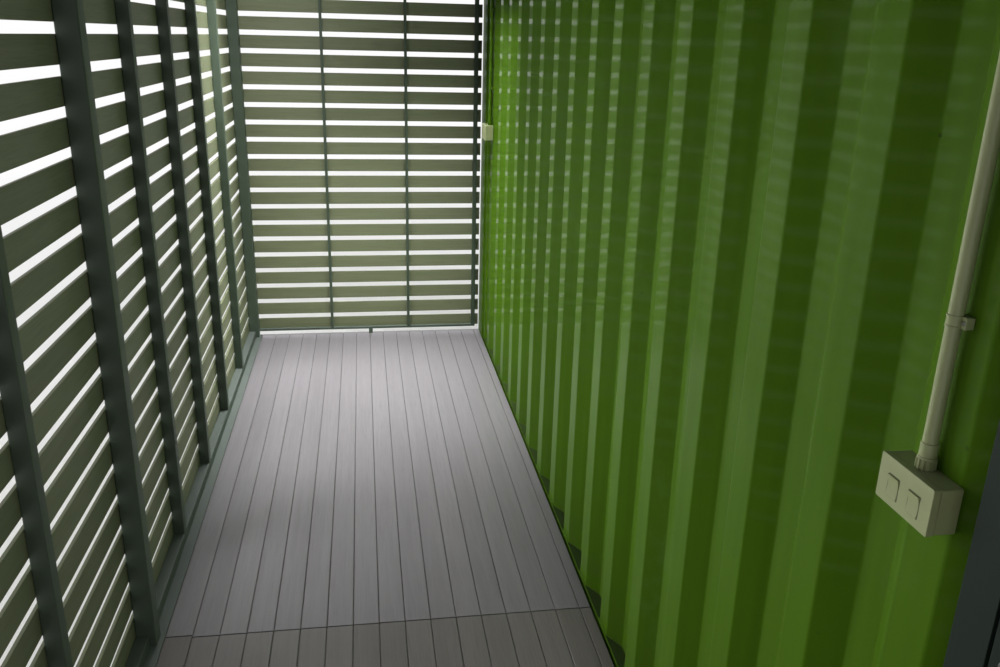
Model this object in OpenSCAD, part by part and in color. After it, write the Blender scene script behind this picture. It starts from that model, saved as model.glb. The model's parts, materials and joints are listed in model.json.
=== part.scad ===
// Shipping container cabin with a screened side deck
// Frame: the origin is on the ground at the centre of the whole footprint.
// +X runs from the deck to the container's back wall, +Y along the container towards
// the screened end of the deck, +Z up. All sizes are in millimetres.

/* [Container] */
// Length over the corner castings
cont_l = 6058; // [5400:1:7000]
// Width over the corner castings
cont_w = 2438; // [2200:1:2700]
// Height over the corner castings
cont_h = 2591; // [2500:1:2896]
// Length of a corner casting
cast_l = 178; // [170:1:190]
// Width of a corner casting
cast_w = 162; // [150:1:175]
// Height of a corner casting
cast_h = 118; // [110:1:125]
// Wall thickness of a corner casting
cast_t = 18; // [14:1:24]
// Thickness of a casting's slotted plate
cast_plate = 28; // [24:1:32]
// Length and width of a casting's top and bottom slots
slot_size = [124, 63.5]; // [110:0.5:130]
// Length and width of a casting's side and end holes
hole_size = [79, 51]; // [45:0.5:85]
// Radius of a casting's outer corner
cast_r = 10; // [6:1:11]
// Thickness of the pressed corner posts
post_t = 6; // [5:0.5:8]
// Width of a corner post's end face
post_face_w = 116; // [100:1:130]
// Width of the lips along a corner post's edges
side_lip = 42; // [30:1:44]
// Depth of the door posts' inner faces, which carry the cargo doors' hinges
door_lip = 130; // [120:1:150]
// Height of the bottom rails' undersides above the ground
rail_z0 = 12.5; // [8:0.5:16]
// How far the side rails' outer faces stand behind the castings' faces
rail_in = 4; // [2:0.5:6]
// Width of the top flange of a bottom side rail
rail_flange = 52; // [48:1:60]
// Width of the bottom flange of a bottom side rail
rail_foot = 31; // [25:1:40]
// Thickness of the bottom rails
rail_t = 4.5; // [4:0.5:6]
// Side of the square top side rails
top_rail = 60; // [50:1:70]
// How far the rails' tops lie under the castings' tops
rail_drop = 31; // [28:1:36]
// Wall thickness of the top rails
top_rail_t = 3; // [3:0.5:5]
// Depth of the end sills and the door header
sill_d = 90; // [80:1:105]
// How far the end wall stands behind the castings' end faces
end_recess = 10; // [8:1:12]
// Height of the door header
header_h = 112; // [105:1:118]

/* [Corrugated panels] */
// Thickness of the wall panels
wall_t = 2; // [1.6:0.1:3]
// Pitch of the side walls' corrugation
side_pitch = 278; // [260:1:290]
// Width of a side wall's outer faces
side_flat_out = 84; // [60:1:90]
// Width of a side wall's inner faces
side_flat_in = 72; // [60:1:80]
// Depth of the side walls' corrugation
side_depth = 36; // [30:1:38]
// How far the side walls' outer faces stand behind the castings' faces
side_recess = 8; // [7:0.5:10]
// Radius of the walls' rolled bends
bend_r = 14; // [8:1:18]
// Width of the flat strip beside the corner posts
side_edge = 66; // [60:1:80]
// Width of the steep side of the short recess beside that strip
side_lead = 15; // [12:1:20]
// Least width of that recess's inner face
side_least = 20; // [18:1:24]
// Pitch of the end wall's corrugation
end_pitch = 250; // [240:1:270]
// Width of the end wall's outer faces
end_flat_out = 110; // [90:1:120]
// Width of the end wall's inner faces
end_flat_in = 104; // [90:1:110]
// Depth of the end wall's corrugation
end_depth = 45.6; // [40:0.1:48]
// Pitch of the ribs pressed into the roof
roof_pitch = 209; // [200:1:230]
// Width of a roof rib at its top
roof_rib_w = 91; // [80:1:100]
// Height of a roof rib
roof_rib_h = 20; // [16:1:22]
// Width of a roof rib's sloping side
roof_rib_foot = 14; // [8:1:20]
// Flat margin of the roof beside its ribs
roof_margin = 150; // [120:1:200]

/* [Floor and base] */
// Thickness of the cabin's floor panels
floor_t = 28; // [24:1:30]
// Gap round the cabin's floor
floor_gap = 2; // [1:0.5:5]
// How far the floor's top lies under the rails' top flanges
floor_drop = 2.5; // [1:0.5:6]
// Flange width of the cross members
cross_flange = 45; // [40:1:50]
// Thickness of the cross members
cross_t = 4; // [3:0.5:6]
// Pitch of the cross members
cross_pitch = 300; // [250:1:340]
// Height of the cross members' undersides above the rails' undersides
cross_lift = 5; // [2:0.5:8]
// Least distance of a cross member's middle from the corner castings
cross_end = 60; // [50:1:90]
// Room between a cross member and a forklift pocket
cross_room = 4; // [2:1:20]
// Distance between the two forklift pockets, centre to centre
pocket_cc = 2080; // [1900:1:2100]
// Clear width of a forklift pocket
pocket_w = 352; // [340:1:370]
// Clear height of a forklift pocket
pocket_h = 115; // [100:1:118]
// Thickness of the pockets' plates
pocket_t = 4; // [3:0.5:5]
// Height of a pocket's inside floor above the rails' undersides
pocket_lift = 7.5; // [6:0.5:10]
// Clearance between the pockets and the cabin's floor
pocket_clear = 0.5; // [0.3:0.1:2]

/* [Cargo doors] */
// Thickness of a cargo door's frame
cargo_t = 50; // [46:1:54]
// Width of a cargo door's upright frame bars
cargo_bar = 100; // [80:1:110]
// Height of a cargo door's top and bottom frame bars
cargo_rail = 150; // [130:1:160]
// Distance from the castings' end faces back to the cargo doors' faces
cargo_recess = 66; // [60:1:80]
// Gap round and between the cargo doors
cargo_gap = 8; // [6:1:12]
// Number of ribs in a cargo door's panel
cargo_ribs = 3; // [2:1:4]
// Widths of a rib's foot and top, as shares of the ribs' pitch
cargo_rib_share = [0.5, 0.3]; // [0.2:0.05:0.7]
// Depth of a cargo door panel's ribs
cargo_rib_d = 30; // [20:1:36]
// Radius of a cargo door panel's bends
cargo_bend_r = 7; // [5:0.5:9]
// How far a cargo door's panel stands behind its frame
cargo_set = 6; // [4:1:8]
// Diameter of a lock rod
rod_d = 34; // [30:1:38]
// Distance of a lock rod's axis in front of its door's face
rod_off = 26; // [24:1:30]
// Length of a lock rod's handle
rod_handle_l = 370; // [350:1:390]
// Distance of a handle's catch from the handle's end
catch_end = 30; // [20:1:40]
// Height of the handles above the doors' lower edges
rod_handle_z = 950; // [920:1:1100]
// Thickness and height of a handle's bar
rod_bar = [10, 26]; // [8:1:30]
// How deep a handle's bar is set into its rod
rod_bite = 2; // [1:0.5:4]
// Thickness of the collars and guides round a rod
collar_t = 5; // [4:1:8]
// Reach of a lock rod's cam
cam_l = 50; // [40:1:60]
// Thickness of a cam
cam_t = 14; // [10:1:16]
// Height of a cam
cam_h = 28; // [24:1:32]
// Clearance between a cam and its keeper
cam_play = 3; // [1:0.5:4]
// Width of a cam keeper
keeper_w = 70; // [60:1:80]
// Thickness of the keepers' and guides' plates
keeper_t = 8; // [6:1:10]
// Width of a rod guide's plate
guide_w = 90; // [80:1:110]
// Height of a rod guide's plate
guide_h = 56; // [50:1:70]
// Number of hinges on a cargo door
cargo_hinges = 4; // [3:1:5]
// Distance of the end hinges from a cargo door's ends
cargo_hinge_end = 180; // [150:1:250]
// Length of a cargo door's hinge blade
cargo_blade = 210; // [180:1:240]
// Height of a hinge blade
blade_h = 100; // [80:1:120]
// Thickness of a hinge blade
blade_t = 14; // [10:1:16]
// Diameter of a cargo hinge's barrel
cargo_barrel = 30; // [28:1:34]
// Diameter of a cargo hinge's pin
cargo_pin = 20; // [16:1:24]
// Height of a hinge lug on the post
lug_h = 20; // [16:1:26]

/* [Side door] */
// Distance from the container's near end to the door frame
door_near = 401; // [370:1:500]
// Width over the door frame
door_w = 1000; // [900:1:1050]
// Height of the wall that is left over the door frame
over_door = 230; // [180:1:300]
// Width of the frame's jambs and head
jamb_w = 62; // [50:1:75]
// Depth of the frame, through the wall
jamb_d = 80; // [70:1:100]
// How far the frame stands out from the wall's outer faces
jamb_proud = 15; // [10:1:20]
// Height of the door's sill
sill_h = 25; // [20:1:35]
// Width of the stop that the leaf shuts against
stop_w = 15; // [12:1:20]
// Clearance between the shut leaf and its stop
stop_gap = 5; // [5:0.5:6]
// Running gap round the leaf
leaf_gap = 7; // [6:0.5:8]
// Thickness of the leaf
leaf_t = 46; // [40:1:56]
// Width of the leaf's stiles and top rail
stile_w = 80; // [70:1:100]
// Height of the leaf's bottom rail
kick_h = 160; // [120:1:250]
// Thickness of the glass
glass_t = 20; // [16:1:24]
// Depth of the glass in the leaf's groove
glass_bite = 12; // [8:1:15]
// Width and depth of the step round the glass
bead = 8; // [5:1:10]
// Diameter of the hinges' barrels
barrel_d = 16; // [14:1:20]
// Room between the hinges' barrels and the frame's face
barrel_gap = 1; // [0.5:0.5:2]
// Diameter of the hinge pins
pin_d = 8; // [6:1:9]
// Length of one hinge knuckle
knuckle_h = 38; // [30:1:50]
// Thickness of the hinges' plates
hinge_plate_t = 3; // [2:0.5:4]
// Width of the hinges' plates
hinge_plate_w = 33; // [25:1:40]
// Distance of the end hinges from the leaf's ends
hinge_end = 180; // [150:1:250]
// Height of the middle hinge above the leaf's middle
hinge_up = 150; // [0:1:200]
// Height of the handle above the sill's top
handle_z = 1020; // [950:1:1100]
// Length of the handle's grip
grip_l = 125; // [110:1:140]

/* [Switch and conduits] */
// Width of the switch box
switch_w = 116; // [100:1:130]
// Height of the switch box
switch_h = 68; // [60:1:80]
// Depth of the switch box
switch_d = 42; // [36:1:50]
// Least distance from the door frame to the middle of the outer face that carries the switch
switch_least = 60; // [55:1:70]
// Distance of the switch box's middle from that outer face's middle
switch_off = 6; // [0:1:36]
// Distance of the switch's conduit from the box's middle
switch_entry = 4; // [0:1:10]
// Corner radius of the surface boxes
box_r = 5; // [3:0.5:8]
// Step round the front of the surface boxes
box_step = 1.5; // [1:0.5:2.5]
// Width of a switch's rocker
rocker_w = 23; // [20:1:36]
// Height of a switch's rocker
rocker_h = 31; // [24:1:44]
// Distance between the two rockers' middles
rocker_pitch = 46; // [38:1:58]
// How far the rockers' middles lie under the box's middle
rocker_low = 5; // [0:1:8]
// Depth of the recess that holds a rocker
rocker_d = 5; // [3:0.5:8]
// Clearance round a rocker
rocker_gap = 0.5; // [0.3:0.1:1]
// How far a rocker's lower and upper edges stand out
rocker_out = [1, 2.5]; // [0:0.5:4]
// Height of the switch box's centre above the deck
switch_z = 1278; // [1200:1:1350]
// Distance of the socket box's middle from the last outer face's middle
socket_off = 23; // [10:1:40]
// Distance of the socket's conduit from the last outer face's middle
socket_entry = -16; // [-20:1:15]
// Width of the socket box
socket_w = 150; // [130:1:170]
// Height of the socket box
socket_h = 84; // [70:1:90]
// Depth of the socket box
socket_d = 46; // [40:1:50]
// Height of the socket box's centre above the deck
socket_z = 1320; // [1250:1:1400]
// Diameter of the conduits
conduit_d = 20; // [16:1:28]
// Diameter of the ribbed nut where a conduit enters its box
nut_d = 27; // [24:1:38]
// Height of the ribbed nut
nut_h = 17; // [12:1:24]
// Gap between a conduit's nut and the wall
conduit_gap = 0.5; // [0.3:0.1:1]
// Gap between a conduit's top and the wall plate of the deck's roof
conduit_top_gap = 0.3; // [0.2:0.1:0.9]
// Thickness of the sleeves and clips round a conduit
sleeve_t = 1.5; // [1:0.5:3]
// Height of the plain sleeve on the nut
sleeve_h = 20; // [14:1:30]
// Height of a conduit's first clip above its box
clip_z = 190; // [160:1:300]
// Pitch of the conduits' clips
clip_pitch = 420; // [350:1:500]
// Height of a clip
clip_h = 16; // [12:1:24]
// Width of a clip's foot on the wall
clip_w = 30; // [30:1:50]

/* [Deck] */
// Distance of the deck's middle joint from the container's middle
joint_y = -26; // [-60:1:60]
// Depth of the deck from the container's side to the posts' outer faces
deck_d = 1480; // [1200:1:1800]
// How far the deck's top lies under the side rail's top flange
deck_step = 3; // [0:0.5:8]
// Thickness of the deck boards
board_t = 22; // [18:1:25]
// Width of a deck board
board_w = 82; // [70:1:140]
// Gap between deck boards
board_gap = 3; // [2:0.1:6]
// Gap between the deck's boards and beams and the container
wall_gap = 6; // [3:0.5:10]
// Gap between the two lengths of deck boards
butt_gap = 4; // [2:0.5:8]
// Chamfer along a deck board's upper edges
board_ch = 1.5; // [1:0.5:3]
// Least width of the last board that is still laid
board_least = 15; // [10:1:30]
// Width of the steel edge beam
edge_w = 76; // [70:1:100]
// Height of the steel edge beam
edge_h = 120; // [110:1:130]
// Gap between the edge beam and the first board
edge_gap = 2; // [1:0.5:5]
// Width of the joists and of the beam beside the container
joist_w = 50; // [40:1:60]
// Pitch of the joists
joist_pitch = 500; // [400:1:600]
// Wall thickness of the deck's steel tubes
tube_t = 3; // [2.5:0.5:5]
// Width of a foot's base plate
foot_plate = 120; // [100:1:150]
// Thickness of a foot's base plate
foot_plate_t = 8; // [6:1:12]
// Side of the short foot under the end screen's bottom rail
stub = 24; // [20:1:36]

/* [Screens] */
// Side of the square main posts
main_post = 60; // [60:1:75]
// Side of the square studs and rails of the screens
stud = 40; // [30:1:50]
// Pitch of the studs
stud_pitch = 578; // [500:1:700]
// Distance from the middle post to the first stud of the far bay
first_far = 584; // [500:1:650]
// Distance from the middle post to the first stud of the near bay
first_near = 648; // [500:1:700]
// Least distance of a stud from the corner posts
stud_least = 150; // [100:1:250]
// Height of a slat
slat_h = 73; // [60:1:76]
// Pitch of the slats
slat_pitch = 101; // [98:1:110]
// Thickness of a slat
slat_t = 10; // [8:1:20]
// Chamfer along a slat's edges
slat_ch = 1; // [0.5:0.5:3]
// Height of the lowest slat above the deck
slat_z0 = 34; // [31:1:39]
// How far the deck's ends stand behind the container's end faces, without the end screen's slats
end_in = 36; // [4:1:60]
// Gap between the end screen's slats and the container
slat_end_gap = 12; // [8:1:20]
// Pitch of the end screen's upright bars
bar_pitch = 489; // [450:1:520]
// Width of the end screen's upright bars
bar_w = 16; // [14:1:30]
// Width of the last of them
last_bar_w = 24; // [16:1:30]
// Depth of the end screen's bars and bottom rail
bar_d = 25; // [25:1:40]
// Height of the end screen's bottom rail
end_rail_h = 12; // [10:1:20]
// Distance from the container's side to the end screen's last bar
bar_end_gap = 36; // [30:1:60]
// Gap between the two lengths of side slats, at the middle post
slat_butt = 4; // [2:0.5:8]
// Gap under the end screen's bottom rail
end_gap_z = 30; // [20:1:40]

/* [Deck roof] */
// Distance from the container's top down to the wall plate's underside
plate_drop = 231; // [225:1:260]
// Height of the beam on the posts
beam_h = 50; // [40:1:60]
// Height of the rafters
rafter_h = 50; // [40:1:60]
// Width of the rafters
rafter_w = 50; // [40:1:60]
// Pitch of the rafters, at most about
rafter_pitch = 1500; // [1000:1:1600]
// Height of the wall plate under the rafters' inner ends
plate_h = 60; // [50:1:80]
// Width of the wall plate
plate_w = 40; // [30:1:60]
// Fall of the roof from the container to the posts
roof_fall = 40; // [30:1:60]
// Pitch of the roof sheet's ribs
sheet_pitch = 200; // [150:1:250]
// Height of the roof sheet's ribs
sheet_h = 30; // [20:1:35]
// Width of a roof sheet rib's top
sheet_rib_w = 40; // [30:1:60]
// Width of a roof sheet rib's sloping side
sheet_rib_foot = 18; // [12:1:24]
// Thickness of the roof sheet
sheet_t = 2; // [1:0.5:3]
// Gap between the deck roof and the container
roof_gap = 8; // [5:1:15]

/* [Hidden] */
$fn = 48;
eps = 0.01;

// Places across the width
total_w = cont_w + deck_d + slat_t;
x_back = total_w/2;
x_side = x_back - cont_w;
x_screen = x_side - deck_d;
x_wall = x_side + side_recess;

// Places along the length
half_l = cont_l/2;
y_cast = half_l - cast_l;
y_end = half_l - end_in - slat_t;
cargo_y = -half_l + cargo_recess;

// Levels of the base
pocket_z0 = rail_z0 + pocket_lift;
floor_z0 = pocket_z0 + pocket_h + pocket_t + pocket_clear;
rail_top = floor_z0 + floor_t + floor_drop;
deck_z = rail_top - deck_step;
z_board = deck_z - board_t;
z_deck_base = deck_z - edge_h;

// Levels of the top
z_cast = cont_h - cast_h;
z_rail_top = cont_h - rail_drop;
z_wall_top = z_rail_top - top_rail;

// Side walls
side_slope = (side_pitch - side_flat_out - side_flat_in)/2;
y_flat = y_cast - side_edge;
n_side = floor((y_flat - side_lead - side_least - side_slope - side_flat_out/2)/side_pitch - 0.5);

// Cargo doors
cargo_x = post_face_w + cargo_gap;
cargo_w = cont_w/2 - cargo_x - cargo_gap/2;
cargo_z0 = rail_top + cargo_gap;
cargo_z1 = z_rail_top - header_h - cargo_gap;
cargo_h = cargo_z1 - cargo_z0;
cargo_panel_w = cargo_w - 2*cargo_bar;
cargo_rib = cargo_panel_w/cargo_ribs;

// Side door
door_y0 = -half_l + door_near;
door_y1 = door_y0 + door_w;
door_h = z_wall_top - over_door - rail_top;
door_z1 = rail_top + door_h;
x_frame = x_wall - jamb_proud;
leaf_y0 = door_y0 + jamb_w + leaf_gap;
leaf_z0 = rail_top + sill_h + leaf_gap;
leaf_w = door_w - 2*jamb_w - 2*leaf_gap;
leaf_h = door_h - jamb_w - sill_h - 2*leaf_gap;
glass_w = leaf_w - 2*stile_w;
glass_h = leaf_h - stile_w - kick_h;
hinge_x = x_frame - barrel_d/2 - barrel_gap;
hinge_y = leaf_y0 - leaf_gap/2;
hinge_zs = [leaf_z0 + hinge_end, leaf_z0 + leaf_h/2 + hinge_up, leaf_z0 + leaf_h - hinge_end];
pin_play = 0.05;
knuckle_gap = 0.6;

// Switch and socket boxes sit on outer faces of the corrugation
switch_face = side_pitch*(ceil((door_y1 + switch_least)/side_pitch - 0.5) + 0.5);
switch_y = switch_face + switch_off;
socket_face = (n_side + 0.5)*side_pitch;
socket_y = socket_face + socket_off;
conduit_x = x_wall - nut_d/2 - conduit_gap;

// Deck
board_x0 = x_screen + edge_w + edge_gap;
board_x1 = x_side - wall_gap;
joist_h = z_board - z_deck_base;
joist_x0 = x_screen + edge_w;
joist_x1 = board_x1 - joist_w;
n_joists = floor((y_end - 2*joist_w)/joist_pitch);
foot_ys = [-y_end + foot_plate/2, -y_end/2, joint_y, y_end/2, y_end - foot_plate/2];

// Deck roof
roof_run = x_side - x_screen;
roof_angle = atan(roof_fall/roof_run);
roof_len = (roof_run - roof_gap)/cos(roof_angle);
z_plate = cont_h - plate_drop;
z_rafter = z_plate + plate_h - roof_fall*(1 - plate_w/roof_run);
post_top = z_rafter - beam_h;

// Screens
n_slats = floor((z_rafter - deck_z - slat_z0 - slat_h)/slat_pitch) + 1;
post_ys = [-y_end, joint_y - main_post/2, y_end - main_post];
end_x0 = x_screen + main_post;
end_x1 = x_side - bar_end_gap;
bar_x0 = x_screen + main_post/2;
end_bars = [[bar_x0 + bar_pitch, bar_w], [bar_x0 + 2*bar_pitch, bar_w],
    [end_x1 - last_bar_w/2, last_bar_w]];

// Colours
leaf_green = "#3c5a1a";
under_green = "#33402a";
gear_grey = "#5d6460";
steel_dark = "#2e3a3c";
slat_grey = "#5f5c4e";
board_grey = "#77706c";
ivory = "#e8e4d6";

// Rectangular tubes from a corner, along Z, Y and X
module tube_z(w, d, h, t) {
    difference() {
        cube([w, d, h]);
        translate([t, t, -1]) cube([w - 2*t, d - 2*t, h + 2]);
    }
}
module tube_y(w, l, h, t) {
    difference() {
        cube([w, l, h]);
        translate([t, -1, t]) cube([w - 2*t, l + 2, h - 2*t]);
    }
}
module tube_x(l, d, h, t) {
    difference() {
        cube([l, d, h]);
        translate([-1, t, t]) cube([l + 2, d - 2*t, h - 2*t]);
    }
}

// Round-ended slot in the XY plane, long side along X
module slot(size, h) {
    l = size[0];
    w = size[1];
    translate([-(l - w)/2, -w/2, 0]) cube([l - w, w, h]);
    for (s = [-1, 1]) translate([s*(l - w)/2, 0, 0]) cylinder(d = w, h = h);
}

// Plate in the YZ plane with rounded corners, centred, from X = 0 to X = t
module rounded_plate(w, h, r, t) {
    translate([0, -w/2 + r, -h/2]) cube([t, w - 2*r, h]);
    translate([0, -w/2, -h/2 + r]) cube([t, w, h - 2*r]);
    for (sy = [-1, 1], sz = [-1, 1])
        translate([0, sy*(w/2 - r), sz*(h/2 - r)]) rotate([0, 90, 0]) cylinder(r = r, h = t);
}

// Bent sheet: a line of [depth, place] points with growing place is given a thickness towards
// growing depth, and each corner becomes an arc
function unit(v) = v/norm(v);
function right_of(v) = [v[1], -v[0]];
function shifted(pts, t) = [for (i = [0:len(pts) - 1]) let (
    m = right_of(unit(pts[max(i, 1)] - pts[max(i, 1) - 1])),
    n = right_of(unit(pts[min(i + 1, len(pts) - 1)] - pts[min(i, len(pts) - 2)])))
    pts[i] + t*(m + n)/(1 + m*n)];
function bend(a, b, c, r) = let (
    u = unit(a - b), w = unit(c - b),
    half = (180 - acos(u*w))/2,
    p = b + u*r*tan(half), q = b + w*r*tan(half),
    o = b + unit(u + w)*r/cos(half))
    [p, o + unit(b - o)*r, q];
function turns_right(a, b, c) = cross(b - a, c - b) < 0;
function rounded(pts, r_right, r_left) = concat([pts[0]],
    [for (i = [1:len(pts) - 2]) each bend(pts[i - 1], pts[i], pts[i + 1],
        turns_right(pts[i - 1], pts[i], pts[i + 1]) ? r_right : r_left)],
    [pts[len(pts) - 1]]);
function reversed(pts) = [for (i = [len(pts) - 1:-1:0]) pts[i]];
function sheet_front(line, t, r) = rounded(line, r + t, r);
function sheet_back(line, t, r) = rounded(shifted(line, t), r, r + t);
function sheet(line, t, r) = concat(sheet_front(line, t, r), reversed(sheet_back(line, t, r)));

// One corner casting, its outer corner at the origin, with its long slot facing down
module casting() {
    room_h = cast_h - cast_plate - cast_t;
    hole_z = cast_plate + room_h/2;
    difference() {
        cube([cast_w, cast_l, cast_h]);
        difference() {
            translate([-1, -1, -1]) cube([cast_r + 1, cast_r + 1, cast_h + 2]);
            translate([cast_r, cast_r, -2]) cylinder(r = cast_r, h = cast_h + 4);
        }
        translate([cast_t, cast_t, cast_plate]) cube([cast_w - 2*cast_t, cast_l - 2*cast_t, room_h]);
        translate([cast_w/2, cast_l/2, -1]) rotate([0, 0, 90]) slot(slot_size, cast_plate + 2);
        translate([-1, cast_l/2, hole_z]) rotate([90, 0, 90]) slot(hole_size, cast_t + 2);
        translate([cast_w/2, -1, hole_z]) rotate([-90, 0, 0]) slot(hole_size, cast_t + 2);
    }
}

// Puts a child with its outer corner at the origin at each of the container's four corners
module at_corners() {
    for (sx = [0, 1], sy = [0, 1])
        translate([sx == 0 ? x_side : x_back, sy == 0 ? -half_l : half_l, 0])
            mirror([sx, 0, 0]) mirror([0, sy, 0]) let ($at_doors = sy == 0) children();
}
module corner_castings() {
    color(leaf_green) at_corners() {
        casting();
        translate([0, 0, cont_h]) mirror([0, 0, 1]) casting();
    }
}

// Pressed corner post, its outer corner at the origin, with the depth of its inner face
module post_section(inner) {
    square([post_t, cast_l]);
    square([post_face_w, post_t]);
    translate([0, cast_l - post_t]) square([side_lip, post_t]);
    translate([post_face_w - post_t, 0]) square([post_t, inner]);
}
module corner_posts() {
    color(leaf_green) at_corners() translate([0, 0, cast_h])
        linear_extrude(height = z_cast - cast_h) post_section($at_doors ? door_lip : side_lip);
}

// Bottom side rail: a channel, open towards +X, cut where the forklift pockets pass
module rail_section() {
    translate([0, rail_z0]) square([rail_t, rail_top - rail_z0]);
    translate([0, rail_top - rail_t]) square([rail_flange, rail_t]);
    translate([0, rail_z0]) square([rail_foot, rail_t]);
}
module side_rail() {
    difference() {
        translate([rail_in, y_cast, 0]) rotate([90, 0, 0])
            linear_extrude(height = 2*y_cast) rail_section();
        for (s = [-1, 1])
            translate([0, s*pocket_cc/2 - pocket_w/2 - pocket_t, pocket_z0 - pocket_t])
                cube([rail_in + rail_flange + 1, pocket_w + 2*pocket_t, pocket_h + 2*pocket_t]);
    }
}
module bottom_side_rails() {
    color(leaf_green) {
        translate([x_side, 0, 0]) side_rail();
        translate([x_back, 0, 0]) mirror([1, 0, 0]) side_rail();
    }
}

// End bars are tubes between the castings, and between the posts where they pass the castings
module bar_between(inset, y, z0, z1, d, t) {
    translate([x_side + inset, y, z0]) tube_x(cont_w - 2*inset, d, z1 - z0, t);
}
module bottom_end_sills() {
    color(leaf_green) for (y = [cargo_y, half_l - end_recess - sill_d]) {
        bar_between(cast_w, y, rail_z0, cast_h, sill_d, rail_t);
        bar_between(post_face_w, y, cast_h, rail_top, sill_d, rail_t);
    }
}
module door_header() {
    color(leaf_green) {
        bar_between(post_face_w, cargo_y, z_rail_top - header_h, z_cast, sill_d, rail_t);
        bar_between(cast_w, cargo_y, z_cast, z_rail_top, sill_d, rail_t);
    }
}
module top_rails() {
    color(leaf_green) {
        for (x = [x_side + rail_in, x_back - rail_in - top_rail])
            translate([x, -y_cast, z_wall_top]) tube_y(top_rail, 2*y_cast, top_rail, top_rail_t);
        bar_between(cast_w, half_l - end_recess - top_rail, z_cast, z_rail_top, top_rail, top_rail_t);
    }
}

module forklift_pockets() {
    color(under_green)
        for (s = [-1, 1])
            translate([x_side + rail_in, s*pocket_cc/2 - pocket_w/2 - pocket_t, pocket_z0 - pocket_t])
                tube_x(cont_w - 2*rail_in, pocket_w + 2*pocket_t, pocket_h + 2*pocket_t, pocket_t);
}

// Cross members: channels under the floor, left out where a forklift pocket runs
function near_pocket(y) = min(abs(y - pocket_cc/2), abs(y + pocket_cc/2))
    < pocket_w/2 + pocket_t + cross_flange/2 + cross_room;
module cross_section(h) {
    square([cross_t, h]);
    square([cross_flange, cross_t]);
    translate([0, h - cross_t]) square([cross_flange, cross_t]);
}
module cross_members() {
    inset = rail_in + rail_t;
    h = floor_z0 - rail_z0 - cross_lift;
    n = floor((y_cast - cross_end)/cross_pitch);
    color(under_green)
        for (i = [-n:n])
            if (!near_pocket(i*cross_pitch))
                translate([x_side + inset, i*cross_pitch - cross_flange/2, floor_z0 - h])
                    rotate([90, 0, 90]) linear_extrude(height = cont_w - 2*inset) cross_section(h);
}

module cabin_floor() {
    edge = rail_in + rail_flange + floor_gap;
    y0 = cargo_y + sill_d + floor_gap;
    y1 = half_l - end_recess - sill_d - floor_gap;
    color("#8a6b45")
        translate([x_side + edge, y0, floor_z0]) cube([cont_w - 2*edge, y1 - y0, floor_t]);
}

// Roof sheet with ribs pressed up across it, and a flat strip between the castings at each end
module roof_rib(w, h, l) {
    rotate([90, 0, 90]) linear_extrude(height = l)
        polygon([[-w/2 - roof_rib_foot, 0], [-w/2, h], [w/2, h], [w/2 + roof_rib_foot, 0]]);
}
module roof_panel() {
    w = cont_w - 2*rail_in;
    n = floor((y_cast - roof_pitch/2)/roof_pitch);
    rib_l = w - 2*roof_margin;
    color(leaf_green) translate([0, 0, z_rail_top]) difference() {
        union() {
            translate([x_side + rail_in, -y_cast, 0]) cube([w, 2*y_cast, wall_t]);
            translate([x_side + cast_w, cargo_y, 0])
                cube([cont_w - 2*cast_w, half_l - end_recess - cargo_y, wall_t]);
            for (i = [-n:n])
                translate([x_side + rail_in + roof_margin, i*roof_pitch, 0])
                    roof_rib(roof_rib_w, roof_rib_h, rib_l);
        }
        for (i = [-n:n])
            translate([x_side + rail_in + roof_margin + wall_t, i*roof_pitch, -eps])
                roof_rib(roof_rib_w - 2*wall_t, roof_rib_h - wall_t, rib_l - 2*wall_t);
    }
}

// Side wall's line from the middle to one end, and then from end to end
function side_recess_at(c) = let (a = side_flat_in/2, b = a + side_slope)
    [[0, c - b], [side_depth, c - a], [side_depth, c + a], [0, c + b]];
function side_half() = let (e = (n_side + 0.5)*side_pitch + side_flat_out/2) concat(
    [[side_depth, side_flat_in/2], [0, side_flat_in/2 + side_slope]],
    [for (i = [1:n_side]) each side_recess_at(i*side_pitch)],
    [[0, e], [side_depth, e + side_slope], [side_depth, y_flat - side_lead], [0, y_flat], [0, y_cast]]);
side_line = concat([for (p = reversed(side_half())) [p[0], -p[1]]], side_half());
side_front = sheet_front(side_line, wall_t, bend_r);
side_back = sheet_back(side_line, wall_t, bend_r);

// Part of a side wall between two places and two levels, its outer plane at X = 0
function clipped(line, y0, y1) = let (table = [for (p = line) [p[1], p[0]]])
    concat([[lookup(y0, table), y0]], [for (p = line) if (p[1] > y0 && p[1] < y1) p],
        [[lookup(y1, table), y1]]);
module side_panel(y0, y1, z0, z1) {
    translate([0, 0, z0]) linear_extrude(height = z1 - z0)
        polygon(concat(clipped(side_front, y0, y1), reversed(clipped(side_back, y0, y1))));
}
module wall_deck_far() {
    color(leaf_green) translate([x_wall, 0, 0]) side_panel(door_y1, y_cast, rail_top, z_wall_top);
}
module wall_deck_near() {
    color(leaf_green) translate([x_wall, 0, 0]) side_panel(-y_cast, door_y0, rail_top, z_wall_top);
}
module wall_over_door() {
    color(leaf_green) translate([x_wall, 0, 0]) side_panel(door_y0, door_y1, door_z1, z_wall_top);
}
module wall_back() {
    color(leaf_green) translate([x_back - side_recess, 0, 0]) mirror([1, 0, 0])
        side_panel(-y_cast, y_cast, rail_top, z_wall_top);
}

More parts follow.
